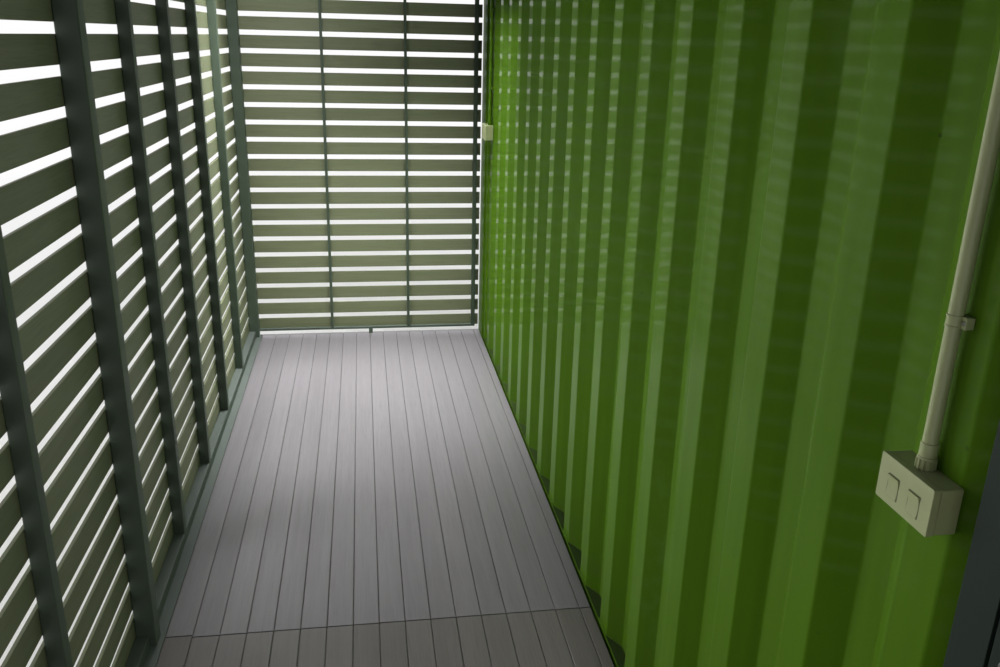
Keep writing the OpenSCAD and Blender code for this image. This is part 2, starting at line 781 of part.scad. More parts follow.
// End wall, between the posts
module wall_end() {
    reach = cont_w/2 - post_face_w;
    a = end_flat_in/2;
    b = (end_pitch - end_flat_out)/2;
    n = floor((reach - b - end_flat_out/2)/end_pitch);
    line = concat([[0, -reach]],
        [for (i = [-n:n]) each [[0, i*end_pitch - b], [end_depth, i*end_pitch - a],
            [end_depth, i*end_pitch + a], [0, i*end_pitch + b]]],
        [[0, reach]]);
    color(leaf_green)
        translate([x_side + cont_w/2, half_l - end_recess, rail_top])
            linear_extrude(height = z_cast - rail_top) rotate([0, 0, -90])
                polygon(sheet(line, wall_t, bend_r));
}

// One cargo door from its hinge edge: a frame of four tubes round a ribbed panel
module cargo_door() {
    a = cargo_rib*cargo_rib_share[1]/2;
    b = cargo_rib*cargo_rib_share[0]/2;
    line = concat([[0, 0]],
        [for (i = [0:cargo_ribs - 1]) let (c = (i + 0.5)*cargo_rib)
            each [[0, c - b], [cargo_rib_d, c - a], [cargo_rib_d, c + a], [0, c + b]]],
        [[0, cargo_panel_w]]);
    for (x = [0, cargo_w - cargo_bar]) translate([x, 0, 0]) tube_z(cargo_bar, cargo_t, cargo_h, rail_t);
    for (z = [0, cargo_h - cargo_rail])
        translate([cargo_bar, 0, z]) tube_x(cargo_panel_w, cargo_t, cargo_rail, rail_t);
    translate([cargo_bar, cargo_set, cargo_rail]) linear_extrude(height = cargo_h - 2*cargo_rail)
        mirror([1, -1, 0]) polygon(sheet(line, wall_t, cargo_bend_r));
}
module at_cargo_doors() {
    for (s = [0, 1])
        translate([s == 0 ? x_side + cargo_x : x_back - cargo_x, cargo_y, cargo_z0])
            mirror([s, 0, 0]) children();
}
module cargo_door_left() {
    color(leaf_green) translate([x_side + cargo_x, cargo_y, cargo_z0]) cargo_door();
}
module cargo_door_right() {
    color(leaf_green) translate([x_back - cargo_x, cargo_y, cargo_z0]) mirror([1, 0, 0]) cargo_door();
}

// Lock gear, with the rod's axis at X = 0 and the door's face at Y = 0. A seat is how far behind
// that face the piece is fixed: nothing on the frame's tubes, and more on the panel between them
module rod_cam(z) {
    translate([0, -rod_off, z]) cylinder(d = rod_d + 2*collar_t, h = cam_h);
    translate([-cam_l, -rod_off - cam_t/2, z]) cube([cam_l, cam_t, cam_h]);
    translate([-cam_l, -rod_off, z]) cube([cam_t, rod_off - keeper_t - cam_play, cam_h]);
}
module keeper(z) {
    h = cam_h + 2*cam_play;
    x = -cam_l + cam_t/2;
    lug = rod_off - keeper_t;
    translate([x - keeper_w/2, -keeper_t, z - cam_play]) cube([keeper_w, keeper_t, h]);
    for (s = [-1, 1])
        translate([x + s*(keeper_w - keeper_t)/2 - keeper_t/2, -keeper_t - lug/2, z - cam_play])
            cube([keeper_t, lug/2, h]);
}
module rod_guide(z, seat) {
    translate([-guide_w/2, -keeper_t, z]) cube([guide_w, keeper_t + seat, guide_h]);
    lip = 4;
    translate([-rod_d/2, -rod_off, z + lip]) cube([rod_d, rod_off, guide_h - 2*lip]);
    translate([0, -rod_off, z + lip]) cylinder(d = rod_d + 2*collar_t, h = guide_h - 2*lip);
}
module rod_handle(z) {
    bar_t = rod_bar[0];
    bar_h = rod_bar[1];
    hub_lip = 8;
    y = -rod_off - rod_d/2 - bar_t + rod_bite;
    translate([-rod_d/2, y, z - hub_lip]) cube([rod_d, bar_t + rod_d/2, bar_h + 2*hub_lip]);
    translate([-rod_handle_l, y, z]) cube([rod_handle_l, bar_t, bar_h]);
    translate([-rod_handle_l, y, z + bar_h/2]) rotate([-90, 0, 0]) cylinder(d = bar_h, h = bar_t);
}
module handle_catch(z, seat) {
    x = catch_end - rod_handle_l;
    front = rod_off + rod_d/2 + rod_bar[0] - rod_bite;
    translate([x - guide_h/2, -keeper_t, z - guide_h/2]) cube([guide_h, keeper_t + seat, guide_w]);
    translate([x - cam_t, -front, z - cam_t - cam_play]) cube([2*cam_t, front, cam_t]);
}
module lock_rod(guide_seat, catch_seat) {
    over = cargo_gap + cam_h + 2*cam_play;
    translate([0, -rod_off, -over]) cylinder(d = rod_d, h = cargo_h + 2*over);
    for (z = [-over, cargo_h + over - cam_h]) {
        rod_cam(z);
        keeper(z);
    }
    for (z = [2*guide_w, (cargo_h - guide_h)/2, cargo_h - guide_h - 2*guide_w])
        rod_guide(z, guide_seat);
    rod_handle(rod_handle_z);
    handle_catch(rod_handle_z, catch_seat);
}
module lock_rods() {
    color(gear_grey) at_cargo_doors() {
        translate([cargo_bar + cargo_rib, 0, 0]) lock_rod(cargo_set, 0);
        translate([cargo_w - cargo_bar/2, 0, 0]) lock_rod(0, cargo_set);
    }
}

// Hinges of the cargo doors: a blade on the door and two lugs on the post, on one pin
module cargo_hinge() {
    reach = cargo_barrel/2 + 1;
    translate([0, -blade_t, 0]) cube([cargo_blade, blade_t, blade_h]);
    translate([reach - cargo_gap, -reach, 0]) {
        cylinder(d = cargo_barrel, h = blade_h);
        translate([0, 0, -lug_h]) cylinder(d = cargo_pin, h = blade_h + 2*lug_h);
    }
    for (z = [-lug_h, blade_h])
        translate([-cargo_gap, -2*reach, z]) cube([reach, 2*reach - blade_t/3, lug_h]);
}
module cargo_door_hinges() {
    step = (cargo_h - 2*cargo_hinge_end - blade_h)/(cargo_hinges - 1);
    color(gear_grey) at_cargo_doors() for (i = [0:cargo_hinges - 1])
        translate([0, 0, cargo_hinge_end + i*step]) cargo_hinge();
}

// Side door frame, with a stop behind the leaf
module side_door_frame() {
    clear_w = door_w - 2*jamb_w;
    clear_h = door_h - jamb_w - sill_h;
    seat = leaf_t + stop_gap;
    color(steel_dark) translate([x_frame, door_y0, rail_top]) difference() {
        cube([jamb_d, door_w, door_h]);
        translate([-1, jamb_w, sill_h]) cube([seat + 1, clear_w, clear_h]);
        translate([-1, jamb_w + stop_w, sill_h]) cube([jamb_d + 2, clear_w - 2*stop_w, clear_h - stop_w]);
    }
}
module side_door_leaf() {
    color(steel_dark) translate([x_frame, leaf_y0, leaf_z0]) difference() {
        cube([leaf_t, leaf_w, leaf_h]);
        translate([-1, stile_w, kick_h]) cube([leaf_t + 2, glass_w, glass_h]);
        for (x = [-1, leaf_t - bead + 1])
            translate([x, stile_w - bead, kick_h - bead]) cube([bead, glass_w + 2*bead, glass_h + 2*bead]);
        translate([(leaf_t - glass_t)/2, stile_w - glass_bite, kick_h - glass_bite])
            cube([glass_t, glass_w + 2*glass_bite, glass_h + 2*glass_bite]);
    }
}
module side_door_glass() {
    color("#9fb0b4") translate([x_frame, leaf_y0, leaf_z0])
        translate([(leaf_t - glass_t)/2, stile_w - glass_bite, kick_h - glass_bite])
            cube([glass_t, glass_w + 2*glass_bite, glass_h + 2*glass_bite]);
}

// Lever handle on its plate, standing out towards -X, its grip along -Y
module lever() {
    plate_t = 8;
    plate_w = 36;
    plate_l = 190;
    plate_low = 70;
    neck_d = 18;
    neck_l = 41;
    mirror([1, 0, 0]) {
        translate([0, 0, plate_l/2 - plate_low]) rounded_plate(plate_w, plate_l, plate_w/3, plate_t);
        rotate([0, 90, 0]) cylinder(d = neck_d, h = neck_l);
        translate([neck_l, 0, 0]) rotate([90, 0, 0]) cylinder(d = neck_d, h = grip_l);
        translate([neck_l, 0, 0]) sphere(d = neck_d + 2);
    }
}
module side_door_handles() {
    z = rail_top + sill_h + handle_z;
    color("#a8adb0") translate([x_frame, leaf_y0 + leaf_w - stile_w/2, z]) {
        lever();
        translate([leaf_t, 0, 0]) mirror([1, 0, 0]) lever();
    }
}

// Side door hinges: each half has one knuckle and one plate, and the frame's half has the pin
module hinge_half(side, z) {
    plate_near = leaf_gap/2;
    reach = barrel_d/2 + barrel_gap;
    translate([0, 0, z]) {
        cylinder(d = barrel_d, h = knuckle_h);
        mirror([0, side < 0 ? 1 : 0, 0]) {
            translate([reach - hinge_plate_t, plate_near, 0]) cube([hinge_plate_t, hinge_plate_w, knuckle_h]);
            translate([0, plate_near, 0]) cube([reach, barrel_d/2 - plate_near, knuckle_h]);
        }
    }
}
module side_door_hinges() {
    color(steel_dark) for (z = hinge_zs) translate([hinge_x, hinge_y, z]) {
        hinge_half(-1, -knuckle_h);
        cylinder(d = pin_d, h = knuckle_h + knuckle_gap);
    }
}
module side_door_hinge_leaves() {
    color(steel_dark) for (z = hinge_zs) translate([hinge_x, hinge_y, z]) difference() {
        hinge_half(1, knuckle_gap);
        translate([0, 0, -1]) cylinder(d = pin_d + 2*pin_play, h = knuckle_h + 3);
    }
}

// Surface boxes with rounded corners, and their conduits
module surface_box(y, z, w, h, d) {
    translate([x_wall - d, y, z]) {
        translate([box_step, 0, 0]) rounded_plate(w, h, box_r, d - box_step);
        rounded_plate(w - 2*box_step, h - 2*box_step, box_r - box_step, box_step);
    }
}
module at_rockers() {
    for (s = [-1, 1])
        translate([x_wall - switch_d, switch_y + s*rocker_pitch/2, deck_z + switch_z - rocker_low])
            children();
}
module switch_box() {
    w = rocker_w + 2*rocker_gap;
    h = rocker_h + 2*rocker_gap;
    color(ivory) difference() {
        surface_box(switch_y, deck_z + switch_z, switch_w, switch_h, switch_d);
        at_rockers() translate([-1, -w/2, -h/2]) cube([rocker_d + 1, w, h]);
    }
}
module switch_rockers() {
    a = rocker_h/2;
    color("#f2efe4") at_rockers() translate([rocker_d, rocker_w/2, 0]) rotate([90, 0, 0])
        linear_extrude(height = rocker_w)
            polygon([[0, -a], [-rocker_d - rocker_out[0], -a], [-rocker_d, 0], [-rocker_d - rocker_out[1], a],
                [0, a]]);
}
module conduit(y, z0) {
    top = z_plate - conduit_top_gap;
    sleeve_d = conduit_d + 2*sleeve_t;
    color(ivory) translate([conduit_x, y, 0]) {
        translate([0, 0, z0]) cylinder(d = nut_d, h = nut_h, $fn = 12);
        translate([0, 0, z0 + nut_h]) cylinder(d = sleeve_d, h = sleeve_h);
        translate([0, 0, z0 + nut_h]) cylinder(d = conduit_d, h = top - z0 - nut_h);
        for (z = [z0 + clip_z:clip_pitch:top - 2*clip_h]) {
            translate([0, 0, z]) cylinder(d = sleeve_d, h = clip_h);
            translate([0, -clip_w + sleeve_d/2, z]) cube([x_wall - conduit_x, clip_w, clip_h]);
        }
    }
}
module switch_conduit() {
    conduit(switch_y + switch_entry, deck_z + switch_z + switch_h/2);
}
module socket_box() {
    color(ivory) surface_box(socket_y, deck_z + socket_z, socket_w, socket_h, socket_d);
}
module socket_conduit() {
    conduit(socket_face + socket_entry, deck_z + socket_z + socket_h/2);
}

// Deck
module deck_beams() {
    color(steel_dark) {
        translate([x_screen, -y_end, z_deck_base]) tube_y(edge_w, 2*y_end, edge_h, tube_t);
        translate([joist_x1, -y_end, z_deck_base]) tube_y(joist_w, 2*y_end, joist_h, tube_t);
    }
}
module deck_joists() {
    ys = concat([-y_end], [for (i = [-n_joists:n_joists]) i*joist_pitch - joist_w/2], [y_end - joist_w]);
    color(steel_dark) for (y = ys)
        translate([joist_x0, y, z_deck_base]) tube_x(joist_x1 - joist_x0, joist_w, joist_h, tube_t);
}
module deck_feet() {
    color(steel_dark) for (y = foot_ys, f = [[x_screen, edge_w], [joist_x1, joist_w]])
        translate([f[0], y, 0]) {
            translate([0, -foot_plate/2, 0]) cube([f[1], foot_plate, foot_plate_t]);
            translate([(f[1] - joist_w)/2, -joist_w/2, foot_plate_t])
                cube([joist_w, joist_w, z_deck_base - foot_plate_t]);
        }
}
module deck_boards(y0, y1) {
    pitch = board_w + board_gap;
    n = ceil((board_x1 - board_x0 - board_least)/pitch);
    color(board_grey) for (i = [0:n - 1]) let (x = board_x0 + i*pitch, w = min(board_w, board_x1 - x))
        translate([x, y1, z_board]) rotate([90, 0, 0]) linear_extrude(height = y1 - y0)
            polygon([[0, 0], [w, 0], [w, board_t - board_ch], [w - board_ch, board_t],
                [board_ch, board_t], [0, board_t - board_ch]]);
}
module deck_boards_near() {
    deck_boards(-y_end, joint_y - butt_gap/2);
}
module deck_boards_far() {
    deck_boards(joint_y + butt_gap/2, y_end);
}

// Side screen: main posts, studs on a bottom rail, and slats on their outer side
module main_posts() {
    color(steel_dark) for (y = post_ys)
        translate([x_screen, y, deck_z]) tube_z(main_post, main_post, post_top - deck_z, tube_t);
}
function bay_studs(first, reach) = [for (d = [first:stud_pitch:reach - main_post - stud_least]) d];
module screen_studs() {
    ys = concat([for (d = bay_studs(first_far, y_end - joint_y)) joint_y + d],
        [for (d = bay_studs(first_near, y_end + joint_y)) joint_y - d]);
    color(steel_dark) for (y = ys)
        translate([x_screen, y - stud/2, deck_z + stud]) tube_z(stud, stud, post_top - deck_z - stud, tube_t);
}
module screen_rails() {
    color(steel_dark) for (i = [0, 1])
        translate([x_screen, post_ys[i] + main_post, deck_z])
            tube_y(stud, post_ys[i + 1] - post_ys[i] - main_post, stud, tube_t);
}
module slat_section() {
    c = slat_ch;
    polygon([[c, 0], [slat_t - c, 0], [slat_t, c], [slat_t, slat_h - c],
        [slat_t - c, slat_h], [c, slat_h], [0, slat_h - c], [0, c]]);
}
module slats_y(y0, y1) {
    color(slat_grey) for (i = [0:n_slats - 1])
        translate([x_screen - slat_t, y1, deck_z + slat_z0 + i*slat_pitch])
            rotate([90, 0, 0]) linear_extrude(height = y1 - y0) slat_section();
}
module slats_side_near() {
    slats_y(-y_end, joint_y - slat_butt/2);
}
module slats_side_far() {
    slats_y(joint_y + slat_butt/2, y_end + slat_t);
}

// End screen: a frame with upright bars, raised on a short foot, and slats on its outer side
module end_screen_frame() {
    z0 = deck_z + end_gap_z;
    z1 = z0 + end_rail_h;
    y = y_end - bar_d;
    color(steel_dark) {
        translate([end_x0, y, z0]) tube_x(end_x1 - end_x0, bar_d, end_rail_h, tube_t);
        translate([end_x0, y_end - stud, post_top]) tube_x(x_side - plate_w - end_x0, stud, beam_h, tube_t);
        for (b = end_bars)
            translate([b[0] - b[1]/2, y, z1]) tube_z(b[1], bar_d, post_top - z1, tube_t);
        translate([(end_bars[0][0] + end_bars[1][0] - stub)/2, y, deck_z]) cube([stub, stub, end_gap_z]);
    }
}
module slats_end() {
    color(slat_grey) for (i = [0:n_slats - 1])
        translate([x_screen, y_end, deck_z + slat_z0 + i*slat_pitch])
            rotate([90, 0, 90]) linear_extrude(height = roof_run - slat_end_gap) slat_section();
}

// Deck roof: a beam on the posts, a wall plate, rafters and a ribbed sheet that fall to the posts
module on_slope() {
    translate([x_screen, 0, z_rafter]) rotate([0, -roof_angle, 0]) children();
}
module roof_beams() {
    color(steel_dark) {
        translate([x_screen, -y_end, post_top]) tube_y(main_post, 2*y_end, beam_h, tube_t);
        translate([x_side - plate_w, -y_end, z_plate]) tube_y(plate_w, 2*y_end, plate_h, tube_t);
    }
}
module deck_rafters() {
    n = round(2*y_end/rafter_pitch);
    color(steel_dark) for (i = [0:n])
        on_slope() translate([0, -y_end + i*(2*y_end - rafter_w)/n, 0])
            tube_x(roof_len, rafter_w, rafter_h, tube_t);
}
module deck_roof() {
    n = floor(y_end/sheet_pitch - 0.5);
    rise = sheet_h - sheet_t;
    a = sheet_rib_w/2;
    b = a + sheet_rib_foot;
    line = concat([[0, -y_end]],
        [for (i = [-n:n]) each [[0, i*sheet_pitch - b], [-rise, i*sheet_pitch - a],
            [-rise, i*sheet_pitch + a], [0, i*sheet_pitch + b]]],
        [[0, y_end]]);
    color("#7d8587") on_slope() translate([0, 0, rafter_h + sheet_t]) rotate([90, 0, 90])
        linear_extrude(height = roof_len)
            polygon([for (p = sheet(line, sheet_t, sheet_t)) [p[1], -p[0]]]);
}

corner_castings();
corner_posts();
bottom_side_rails();
bottom_end_sills();
forklift_pockets();
cross_members();
cabin_floor();
top_rails();
door_header();
roof_panel();
wall_deck_far();
wall_deck_near();
wall_over_door();
wall_back();
wall_end();
cargo_door_left();
cargo_door_right();
lock_rods();
cargo_door_hinges();
side_door_frame();
side_door_leaf();
side_door_glass();
side_door_handles();
side_door_hinges();
side_door_hinge_leaves();
switch_box();
switch_rockers();
switch_conduit();
socket_box();
socket_conduit();
deck_beams();
deck_joists();
deck_feet();
deck_boards_near();
deck_boards_far();
main_posts();
screen_studs();
screen_rails();
end_screen_frame();
slats_side_near();
slats_side_far();
slats_end();
roof_beams();
deck_rafters();
deck_roof();
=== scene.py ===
# Shipping container cabin with a screened side deck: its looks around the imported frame.
# Lengths are in millimetres in the row frame, and become metres where a mesh or lamp is made.
import json
import math

import bmesh
import bpy
from mathutils import Matrix, Vector, noise


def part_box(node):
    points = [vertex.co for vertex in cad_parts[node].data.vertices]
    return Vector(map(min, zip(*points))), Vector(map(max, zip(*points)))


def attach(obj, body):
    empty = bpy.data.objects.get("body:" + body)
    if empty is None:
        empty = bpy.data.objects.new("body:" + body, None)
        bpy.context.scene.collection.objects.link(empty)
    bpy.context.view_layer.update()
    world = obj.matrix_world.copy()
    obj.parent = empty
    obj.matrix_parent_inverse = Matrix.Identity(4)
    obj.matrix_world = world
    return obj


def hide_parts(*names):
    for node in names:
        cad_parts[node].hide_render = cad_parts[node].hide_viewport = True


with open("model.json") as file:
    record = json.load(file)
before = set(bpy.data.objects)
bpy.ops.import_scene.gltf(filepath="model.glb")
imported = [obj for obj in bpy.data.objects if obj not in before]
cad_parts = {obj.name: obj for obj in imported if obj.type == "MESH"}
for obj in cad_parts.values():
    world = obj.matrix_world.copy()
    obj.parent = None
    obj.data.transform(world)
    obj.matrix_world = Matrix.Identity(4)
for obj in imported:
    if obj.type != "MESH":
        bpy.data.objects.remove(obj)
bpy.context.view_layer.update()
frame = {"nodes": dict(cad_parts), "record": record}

nodes = frame["nodes"]
scene = bpy.context.scene
MM = 0.001


def cad_corners(node):
    """Lowest and highest corner of a CAD node, in millimetres."""
    low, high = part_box(node)
    return low / MM, high / MM


def solids(node):
    """Lowest and highest corners of a CAD node's separate solids, in millimetres, from low Y to high."""
    mesh = nodes[node].data
    points = [tuple(round(c / MM, 1) for c in v.co) for v in mesh.vertices]
    owner = {p: p for p in points}

    def root(p):
        while owner[p] != p:
            owner[p] = owner[owner[p]]
            p = owner[p]
        return p

    for polygon in mesh.polygons:
        first = root(points[polygon.vertices[0]])
        for i in polygon.vertices[1:]:
            owner[root(points[i])] = first
    boxes = {}
    for p in owner:
        low, high = boxes.setdefault(root(p), (list(p), list(p)))
        for k in range(3):
            low[k], high[k] = min(low[k], p[k]), max(high[k], p[k])
    return sorted(((Vector(low), Vector(high)) for low, high in boxes.values()),
                  key=lambda box: (box[0].y, box[0].x, box[0].z))


# Places read from the frame
wall_lo, wall_hi = cad_corners("wall_deck_far")
near_lo, near_hi = cad_corners("wall_deck_near")
over_lo, over_hi = cad_corners("wall_over_door")
back_lo, back_hi = cad_corners("wall_back")
end_lo, end_hi = cad_corners("wall_end")
boards_lo, boards_hi = cad_corners("deck_boards_far")
boards_near_lo, boards_near_hi = cad_corners("deck_boards_near")
slats_lo, slats_hi = cad_corners("slats_side_far")
slats_near_lo, slats_near_hi = cad_corners("slats_side_near")
slats_end_lo, slats_end_hi = cad_corners("slats_end")
posts_lo, posts_hi = cad_corners("main_posts")
beams_lo = cad_corners("deck_beams")[0]
door_lo, door_hi = cad_corners("side_door_frame")
leaf_hi = cad_corners("side_door_leaf")[1]
glass_lo, glass_hi = cad_corners("side_door_glass")
floor_lo, floor_hi = cad_corners("cabin_floor")
left_lo, left_hi = cad_corners("cargo_door_left")
right_lo, right_hi = cad_corners("cargo_door_right")
sheet_lo, sheet_hi = cad_corners("deck_roof")
x_wall = wall_lo.x
deck_z = boards_hi.z
joint_y = (boards_near_hi.y + boards_lo.y) / 2

# Camera, from a fit to the photograph, its distances enlarged by about 0.4 % and rounded
CAMERA_FROM_WALL = 744
CAMERA_BEFORE_JOINT = 2430
CAMERA_ABOVE_DECK = 1840
CAMERA_YAW = 9.157
CAMERA_DOWN = 18.82
CAMERA_ROLL = 1.441
FOCAL_PER_WIDTH = 0.8664
SENSOR = 36
CLIP_NEAR = 20
CLIP_FAR = 200000


def make_camera():
    yaw, down, roll = (math.radians(a) for a in (CAMERA_YAW, CAMERA_DOWN, CAMERA_ROLL))
    ahead = Vector((math.sin(yaw) * math.cos(down), math.cos(yaw) * math.cos(down), -math.sin(down)))
    level = Vector((math.cos(yaw), -math.sin(yaw), 0))
    upright = level.cross(ahead)
    right = math.cos(roll) * level + math.sin(roll) * upright
    up = math.cos(roll) * upright - math.sin(roll) * level
    data = bpy.data.cameras.new("camera")
    data.sensor_width = SENSOR
    data.lens = SENSOR * FOCAL_PER_WIDTH
    data.clip_start = CLIP_NEAR * MM
    data.clip_end = CLIP_FAR * MM
    camera = bpy.data.objects.new("camera", data)
    at = Vector((x_wall - CAMERA_FROM_WALL, joint_y - CAMERA_BEFORE_JOINT, deck_z + CAMERA_ABOVE_DECK))
    turned = Matrix((right, up, -ahead)).transposed().to_4x4()
    camera.matrix_world = Matrix.Translation(at * MM) @ turned
    scene.collection.objects.link(camera)
    scene.camera = camera


make_camera()


# Materials

LEAST_ROUGHNESS = 0.02
BEVEL_SAMPLES = 4


class Paint:
    """A node material under construction. Positions are in metres, in the row frame."""

    def __init__(self, name, colour, roughness, metallic=0.0, **shader):
        self.material = bpy.data.materials.new(name)
        self.material.use_nodes = True
        self.tree = self.material.node_tree
        self.shader = self.tree.nodes["Principled BSDF"]
        self.place = self.add("TexCoord").outputs["Object"]
        self.colour = None
        self.shine = None
        self.height = None
        self.base = colour
        self.roughness = roughness
        self.shader.inputs["Metallic"].default_value = metallic
        self.shader.inputs["Roughness"].default_value = roughness
        for key, value in shader.items():
            self.shader.inputs[key.replace("_", " ")].default_value = value

    def add(self, kind, settings=None, **sockets):
        made = self.tree.nodes.new("ShaderNode" + kind)
        for key, value in (settings or {}).items():
            setattr(made, key, value)
        for key, value in sockets.items():
            self.feed(made.inputs[key.replace("_", " ")], value)
        return made

    def feed(self, socket, value):
        if isinstance(value, bpy.types.NodeSocket):
            self.tree.links.new(value, socket)
        else:
            socket.default_value = value

    def math(self, operation, a, b):
        made = self.add("Math", {"operation": operation})
        self.feed(made.inputs[0], a)
        self.feed(made.inputs[1], b)
        return made.outputs[0]

    def times(self, a, b):
        return self.math("MULTIPLY", a, b)

    def noise(self, scale, detail=3.0, roughness=0.55, stretch=(1, 1, 1)):
        where = self.place
        if stretch != (1, 1, 1):
            mapping = self.add("Mapping", Vector=self.place)
            mapping.inputs["Scale"].default_value = stretch
            where = mapping.outputs["Vector"]
        made = self.add("TexNoise", Vector=where, Scale=scale, Detail=detail, Roughness=roughness)
        return made.outputs["Fac"]

    def ramp(self, value, low, high, to_low=0.0, to_high=1.0):
        made = self.add("MapRange", {"clamp": True}, Value=value)
        for name, limit in (("From Min", low), ("From Max", high), ("To Min", to_low), ("To Max", to_high)):
            made.inputs[name].default_value = limit
        return made.outputs[0]

    def axis(self, name):
        return self.add("SeparateXYZ", Vector=self.place).outputs[name]

    def low_down(self, top, foot):
        """1 below the foot and 0 above the top, both heights above ground in millimetres."""
        return self.ramp(self.axis("Z"), top * MM, foot * MM)

    def facing_up(self):
        normal = self.add("NewGeometry").outputs["Normal"]
        return self.add("SeparateXYZ", Vector=normal).outputs["Z"]

    def tint(self, mask, colour):
        """Mixes a colour over what is there, where the mask is 1."""
        under = self.base + (1.0,) if self.colour is None else self.colour
        made = self.add("Mix", {"data_type": "RGBA"})
        self.feed(made.inputs["Factor"], mask)
        self.feed(made.inputs[6], under)
        self.feed(made.inputs[7], colour + (1.0,))
        self.colour = made.outputs[2]

    def shade(self, value):
        """Multiplies the colour by a value."""
        made = self.add("VectorMath", {"operation": "SCALE"})
        self.feed(made.inputs[0], self.base if self.colour is None else self.colour)
        self.feed(made.inputs["Scale"], value)
        self.colour = made.outputs[0]

    def vary(self, pattern, least, most):
        """Multiplies the colour by a noise pattern, spread from least to most."""
        self.shade(self.ramp(pattern, 0.3, 0.7, least, most))

    def tone(self, amount):
        """Varies the colour from one solid to the next by the mesh's tone, which runs from -1 to 1."""
        tone = self.add("Attribute", {"attribute_name": "tone"}).outputs["Fac"]
        self.shade(self.ramp(tone, -1, 1, 1 - amount, 1 + amount))

    def chips(self, scale, rim, core, colour, share=1.0):
        """Small spots of another colour, in patches. Rim and core are radii, as shares of a cell."""
        spots = self.add("TexVoronoi", Vector=self.place, Scale=scale, Randomness=1.0).outputs["Distance"]
        patchy = self.ramp(self.noise(2.1, 2), 0.55, 0.62)
        self.tint(self.times(self.ramp(spots, rim, core), self.times(patchy, share)), colour)

    def gloss(self, mask, change):
        """Adds a change to the roughness where the mask is 1."""
        under = self.roughness if self.shine is None else self.shine
        self.shine = self.math("ADD", under, self.times(mask, change))

    def bump(self, value, depth):
        """Raises the surface by a value times a depth in millimetres."""
        rise = self.times(value, depth * MM)
        self.height = rise if self.height is None else self.math("ADD", self.height, rise)

    def done(self, edge=0.0):
        """Joins everything up. An edge above 0 rounds the CAD's sharp edges by that many millimetres."""
        if self.colour is not None:
            self.feed(self.shader.inputs["Base Color"], self.colour)
        if self.shine is not None:
            shine = self.ramp(self.shine, LEAST_ROUGHNESS, 1, LEAST_ROUGHNESS, 1)
            self.feed(self.shader.inputs["Roughness"], shine)
        normal = None
        if edge:
            normal = self.add("Bevel", {"samples": BEVEL_SAMPLES}, Radius=edge * MM).outputs[0]
        if self.height is not None:
            made = self.add("Bump", Height=self.height)
            made.inputs["Distance"].default_value = 1.0
            made.inputs["Strength"].default_value = 1.0
            if normal is not None:
                self.feed(made.inputs["Normal"], normal)
            normal = made.outputs[0]
        if normal is not None:
            self.feed(self.shader.inputs["Normal"], normal)
        return self.material


SPLASH_TOP = 420
SPLASH_FOOT = 170
LEDGE_TOP = 300
LEDGE_FOOT = 200
GRIME_TOP = 300
GRIME_FOOT = 100


def wall_paint(name, colour, edge=0.0, coat=0.55):
    """Glossy paint on pressed sheet: faint runs, pale smudges, a few chips and an orange-peel skin."""
    p = Paint(name, colour, 0.4, Specular_IOR_Level=0.03, Coat_Weight=coat, Coat_Roughness=0.06,
              Coat_IOR=1.2)
    p.vary(p.noise(1.1, 3), 0.92, 1.08)
    p.vary(p.noise(26, 4, stretch=(1, 1, 0.05)), 0.93, 1.06)
    broad = p.ramp(p.noise(3.2, 5, stretch=(1, 1, 0.5)), 0.58, 0.78)
    smudge = p.times(broad, p.ramp(p.noise(17, 4), 0.4, 0.7))
    p.tint(p.times(smudge, 0.35), (0.12, 0.2, 0.06))
    splash = p.low_down(SPLASH_TOP, SPLASH_FOOT)
    p.tint(p.times(splash, p.ramp(p.noise(15, 5), 0.42, 0.72, 0, 0.4)), (0.05, 0.07, 0.02))
    p.chips(8.0, 0.04, 0.026, (0.016, 0.03, 0.006), 0.7)
    ledge = p.times(p.ramp(p.facing_up(), 0.5, 0.9), p.low_down(LEDGE_TOP, LEDGE_FOOT))
    p.tint(p.times(ledge, 0.85), (0.012, 0.016, 0.008))
    p.gloss(p.noise(5, 4), 0.12)
    p.gloss(smudge, 0.3)
    p.bump(p.noise(240, 1), 0.035)
    p.bump(p.noise(5.5, 1, stretch=(1, 1, 0.7)), 0.55)
    return p.done(edge)


def steel_paint(name, colour, top_dust_and_painted_light, roughness, peel=0.05, wave=0.0, dust_and_sheen_share=0.3, chip=None, edge=0.0):
    """Painted steel: mottled, dusty where it faces up, chipped here and there, with an orange-peel skin. A
    pale top colour is a painted sheen as well as dust.
    """
    p = Paint(name, colour, roughness)
    p.tone(0.06)
    p.vary(p.noise(1.3, 4), 0.9, 1.1)
    p.vary(p.noise(9, 3, stretch=(1, 1, 0.25)), 0.95, 1.05)
    settled_dust_and_sheen = p.times(p.ramp(p.facing_up(), 0.3, 1), p.ramp(p.noise(60, 2), 0.25, 0.75, 0.5, 1))
    grime = p.times(p.low_down(GRIME_TOP, GRIME_FOOT), p.ramp(p.noise(14, 5), 0.4, 0.7))
    # Tops take the dust colour; the pale bluish one given to the deck steel is a painted sheen as well as
    # dust.
    p.tint(p.times(settled_dust_and_sheen, dust_and_sheen_share), top_dust_and_painted_light)
    p.tint(p.times(grime, 0.3), top_dust_and_painted_light)
    if chip:
        p.chips(9.0, 0.045, 0.03, chip)
    p.gloss(p.noise(5, 4), 0.1)
    p.gloss(settled_dust_and_sheen, 0.25)
    p.bump(p.noise(260, 1), peel)
    if wave:
        p.bump(p.noise(4.5, 1, stretch=(1, 1, 0.6)), wave)
    return p.done(edge)


GRAIN_STRETCH = 0.03


